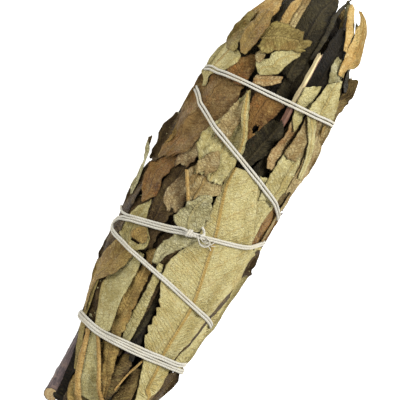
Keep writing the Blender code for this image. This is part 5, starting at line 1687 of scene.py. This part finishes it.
        lower=[(316, 72), (330, 66), (340, 56), (350, 50), (359, 47), (364, 55), (366, 60), (382, 60.5)],
    ),
    Blade(
        "leaf_45_pale", "orange", ragged=0.12, crease=0.35, tear=0.3, rib_high=0.15,
        upper=[(351, 28), (355, 18), (358.5, 10), (362, 2)],
        lower=[(340.5, 26), (343, 17), (347, 9), (355, 2)],
    ),
    Blade(
        "leaf_45_pale", "palegreen", ragged=0.1, crease=0.15, lift=0.2, curl_lower=0.3, veins=0, rib_high=0.1,
        upper=[
            (354, 26), (358, 31), (364, 34.5), (368, 28), (371, 22.5), (376, 24), (381, 21), (385, 15),
            (390, 6), (391, -2),
        ],
        lower=[(352, 23), (357, 14), (362, 7), (367, 6), (372, 5), (380, 2), (388, -3)],
    ),
    Blade(
        "leaf_45_pale", "wrinkled", ragged=0.2, crease=0.3, lift=0.1, veins=0, rib_high=0,
        upper=[(362, 33), (368, 38), (375, 35)],
        lower=[(362, 29), (369, 27), (375, 29)],
    ),
    Blade(
        "leaf_46_olive", "mustard", ragged=0.2, teeth=0.5, tooth_length=2.4, crease=0.45, tear=0.8, lift=0.15,
        pleats=(0.35, 3.0),
        upper=[
            (391, 42), (403, 38.5), (409.5, 30), (410.5, 20), (409, 14), (413, 5), (408, 4), (404, 1),
            (407, -5),
        ],
        lower=[(378, 40), (372, 30), (377, 24), (382, 19), (387, 11), (389, 3), (391, -5)],
    ),
    Blade(
        "leaf_47_brown", "mustard", ragged=0.3, ruffle=0.3, crease=0.3, rib_high=0,
        upper=[(360, 66), (371, 70.5), (385, 69.5), (395, 66), (408, 62)],
        lower=[(360, 57), (375, 56), (390, 58), (408, 57)],
    ),
    Blade(
        "leaf_47_brown", "golden", ragged=0.2, crease=0.4, curl_upper=0.5, curl_lower=0.5, ruffle=0.35,
        upper=[(363, 51), (372, 57), (385, 59), (400, 55.5), (414, 51)],
        lower=[(363, 46), (372, 42.5), (380, 40.5), (400, 39), (414, 42)],
    ),
    Blade("leaf_resting", "chestnut", path=[(-34, 180), (-10, 178), (12, 181)], width=25, base=0.3, tip=0.6),
    Blade("leaf_resting_tip", "brown", path=[(14, 181), (28, 180), (43, 178)], width=24, base=0.6, tip=0.15),
]
for number, blade in enumerate(BLADES):
    blade.seed = number + 1


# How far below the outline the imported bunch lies, and the narrow leaves along both rims.
BUNCH_DEPTH = 6.0
RIM_DEPTH = 3.8

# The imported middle: its ends, its radius over the bunch's, and its points along and round.
CORE_START, CORE_END = -46.0, 43.0
CORE_SHARE = 0.78
CORE_POINTS, CORE_SIDES = 110, 96

# Leaves that stand out of the ends: where they start, and their rings, as (share of the radius, count,
# greatest length).
END_LEAVES_FROM = ((-48.0, -1), (44.0, 1))
END_RINGS = ((0.15, 3, 13), (0.5, 6, 15), (0.84, 11, 15))

# Rows of leaves on the bunch and along both rims: where each starts, and the angles of a row.
BUNCH_ROWS, BUNCH_ROW_COUNT = (-40, -24, -4, 16), 15
RIM_ROWS, RIM_ANGLES = (-37, -19, -2, 16, 34), (54, 68, 82, 96, 110)

INNER_LOOKS = {
    "olive": 0.3, "darkbrown": 0.26, "brown": 0.16, "black": 0.16, "wrinkled": 0.06, "twisted": 0.06,
}
FIRST_INNER_SEED = 300


def core_level(share, depth=BUNCH_DEPTH):
    """A function that gives the radius at a share of the way out to a depth below the outline."""
    return lambda x, angle: share * (half_width(x) - depth)


def add_core(pieces):
    """The tightly packed middle: a pleated, crumpled body that closes the inside from end to end."""
    count, sides = CORE_POINTS, CORE_SIDES
    share = np.linspace(0, 1, count)
    x = np.repeat((CORE_START + (CORE_END - CORE_START) * share)[:, None], sides, axis=1)
    angle = np.repeat((360 * np.arange(sides) / sides)[None], count, axis=0)
    turn = np.radians(angle)
    ends = np.minimum(1, np.minimum(share, 1 - share) / 0.06)[:, None]
    size = CORE_SHARE * (half_width(x) - BUNCH_DEPTH)
    swirl = np.sin(turn) + 0.5 * noise(x, 5 * np.cos(turn), 6.0, 91)
    pleats = np.abs(np.sin(5.5 * turn + 1.2 * swirl))
    crumpled = noise(6 * np.sin(turn), 6 * np.cos(turn) + 0.3 * x, 2.0, 92)
    radius = (size + 1.4 * (pleats - 0.5) + 0.8 * crumpled) * np.sqrt(1 - (1 - ends) ** 2) + 0.03
    x = x + (1 - ends) * 1.6 * noise(radius * np.sin(turn), radius * np.cos(turn), 1.6, 93)
    leaf = np.stack([x, turn * 6, 0 * x + 4], axis=-1)
    # The depth below the outline, from which the leaf material paints shade on the core.
    mark = np.stack([0 * x, half_width(x) - radius, 0 * x + 9], axis=-1)
    groups = closed_rod(count, sides, leaf_look("darkbrown", 0))
    pieces.add(to_space(x, angle, radius), groups, leaf, mark)


def build_inner_leaves(surface, press):
    """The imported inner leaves: narrow dark leaves in rings, standing out of both ends."""
    rng = np.random.default_rng(11)
    pieces = Pieces()
    add_core(pieces)
    number = FIRST_INNER_SEED

    def lay(path, width, level, **more):
        nonlocal number
        number += 1
        look = rng.choice(list(INNER_LOOKS), p=list(INNER_LOOKS.values()))
        blade = Blade("inner_leaves", look, path=path, width=width, seed=number, hidden=True, **more)
        lay_blade(surface, press, blade, level, pieces)

    for end, way in END_LEAVES_FROM:
        for share, count, longest in END_RINGS:
            for k in range(count):
                angle = 360 * (k + rng.uniform(-0.3, 0.3)) / count + 40 * share
                length = rng.uniform(0.65, 1) * longest
                path = [(end - way * 6, angle), (end + way * length, angle + rng.uniform(-9, 9))]
                width = rng.uniform(6, 8) / max(share, 0.35) ** 0.5
                lay(path, width, core_level(share), crease=0.4, tip=0.1, base=0.7)
    guide = guide_of("inner_leaves")
    for start in BUNCH_ROWS:
        for k in range(BUNCH_ROW_COUNT):
            angle = 360 // BUNCH_ROW_COUNT * k + rng.uniform(-6, 6) + 0.3 * start
            begin = start + rng.uniform(-3, 3)
            path = [(begin, angle), (begin + rng.uniform(26, 33), angle + rng.uniform(-8, 8))]
            lay(path, rng.uniform(7, 10), guide, crease=0.4, ruffle=0.4, tip=0.3, base=0.4)
    rim = core_level(1.0, RIM_DEPTH)
    for side in (-1, 1):
        for start in RIM_ROWS:
            for angle in RIM_ANGLES:
                begin, at = start + rng.uniform(-3, 3), side * (angle + rng.uniform(-4, 4))
                path = [(begin, at), (begin + rng.uniform(22, 28), at + rng.uniform(-6, 6))]
                lay(path, rng.uniform(6, 8), rim, crease=0.4, ruffle=0.4, tip=0.3, base=0.4)
    make_object("fine_inner_leaves", pieces, "inner_leaves")


def tucked_up(guide):
    """The level of a leaf under the stick: as in the model beneath, with its sides drawn up to the bunch."""

    def at(x, angle):
        aside = np.abs(angle % 360 - 180)
        share = smooth_step(aside, 12, 36)
        return guide(x, angle) * (1 - share) + (half_width(x) - 1.5) * share

    return at


def build_leaves(surface, press):
    """Lays all blades in order, then makes one piece for each packed leaf."""
    guides, pieces = {}, {}
    for blade in BLADES:
        if blade.node not in guides:
            guides[blade.node] = guide_of(blade.node)
            if blade.node.startswith("leaf_resting"):
                guides[blade.node] = tucked_up(guides[blade.node])
            pieces[blade.node] = Pieces()
        if blade.node == "leaf_33_olive":
            build_twig(surface)
        lay_blade(surface, press, blade, guides[blade.node], pieces[blade.node])
    for node, collected in pieces.items():
        make_object("fine_" + node, collected, node)


surface = LaidSurface()
press = press_field(surface)
build_stems(surface)
build_inner_leaves(surface, press)
build_leaves(surface, press)
build_string(surface)

# Floor, light and camera

FLOOR_HALF = 6.0
FLOOR_GREY, FLOOR_GLOW = 0.94, 0.35
ROOM_LIGHT = 0.95

floor_mesh = bpy.data.meshes.new("floor")
corners = [(x * FLOOR_HALF, y * FLOOR_HALF, 0) for x, y in ((-1, -1), (1, -1), (1, 1), (-1, 1))]
floor_mesh.from_pydata(corners, [], [(0, 1, 2, 3)])
floor = bpy.data.objects.new("floor", floor_mesh)
bpy.context.scene.collection.objects.link(floor)
paper = Graph("backdrop")
paper.shader.inputs["Base Color"].default_value = (FLOOR_GREY, FLOOR_GREY, FLOOR_GREY, 1)
paper.shader.inputs["Roughness"].default_value = 0.9
paper.shader.inputs["Specular IOR Level"].default_value = 0.1
paper.shader.inputs["Emission Color"].default_value = (1, 1, 1, 1)
paper.shader.inputs["Emission Strength"].default_value = FLOOR_GLOW
floor_mesh.materials.append(paper.material)

world = bpy.data.worlds.new("studio")
bpy.context.scene.world = world
world.use_nodes = True
world.node_tree.nodes["Background"].inputs["Color"].default_value = (1, 1, 1, 1)
world.node_tree.nodes["Background"].inputs["Strength"].default_value = ROOM_LIGHT

# The photo's up direction on the floor, its middle and its width, in the model's frame. The lens is long.
LEAN = math.radians(61.16)
PHOTO_MIDDLE = (1.05, 1.7)
PHOTO_WIDTH = 100.0
LENS, SENSOR = 1000.0, 36.0
MIDDLE_HEIGHT = 22.0
LIT_POINT = Vector((0, 0, 0.018))


def in_photo(right, up):
    """The direction on the floor that points right and up in the photograph."""
    return (right * math.cos(LEAN) + up * math.sin(LEAN), -right * math.sin(LEAN) + up * math.cos(LEAN))


def area_light(name, right, up, height, size, power):
    """A soft square lamp, placed by the photo's directions in metres, that faces the stick."""
    data = bpy.data.lights.new(name, "AREA")
    data.shape = "SQUARE"
    data.size = size
    data.energy = power
    lamp = bpy.data.objects.new(name, data)
    lamp.location = (*in_photo(right, up), height)
    way = LIT_POINT - lamp.location
    lamp.rotation_euler = way.to_track_quat("-Z", "Y").to_euler()
    bpy.context.scene.collection.objects.link(lamp)


area_light("key", 0.50, 0.10, 0.60, 0.30, 9.0)
area_light("fill", -0.55, 0.40, 0.65, 0.50, 4.5)

camera_data = bpy.data.cameras.new("camera")
camera_data.lens = LENS
camera_data.sensor_width = SENSOR
camera = bpy.data.objects.new("camera", camera_data)
distance = LENS / SENSOR * PHOTO_WIDTH * MM
camera.location = (PHOTO_MIDDLE[0] * MM, PHOTO_MIDDLE[1] * MM, MIDDLE_HEIGHT * MM + distance)
camera.rotation_euler = (0, 0, -LEAN)
bpy.context.scene.collection.objects.link(camera)
bpy.context.scene.camera = camera
bpy.context.scene.view_settings.view_transform = "Standard"
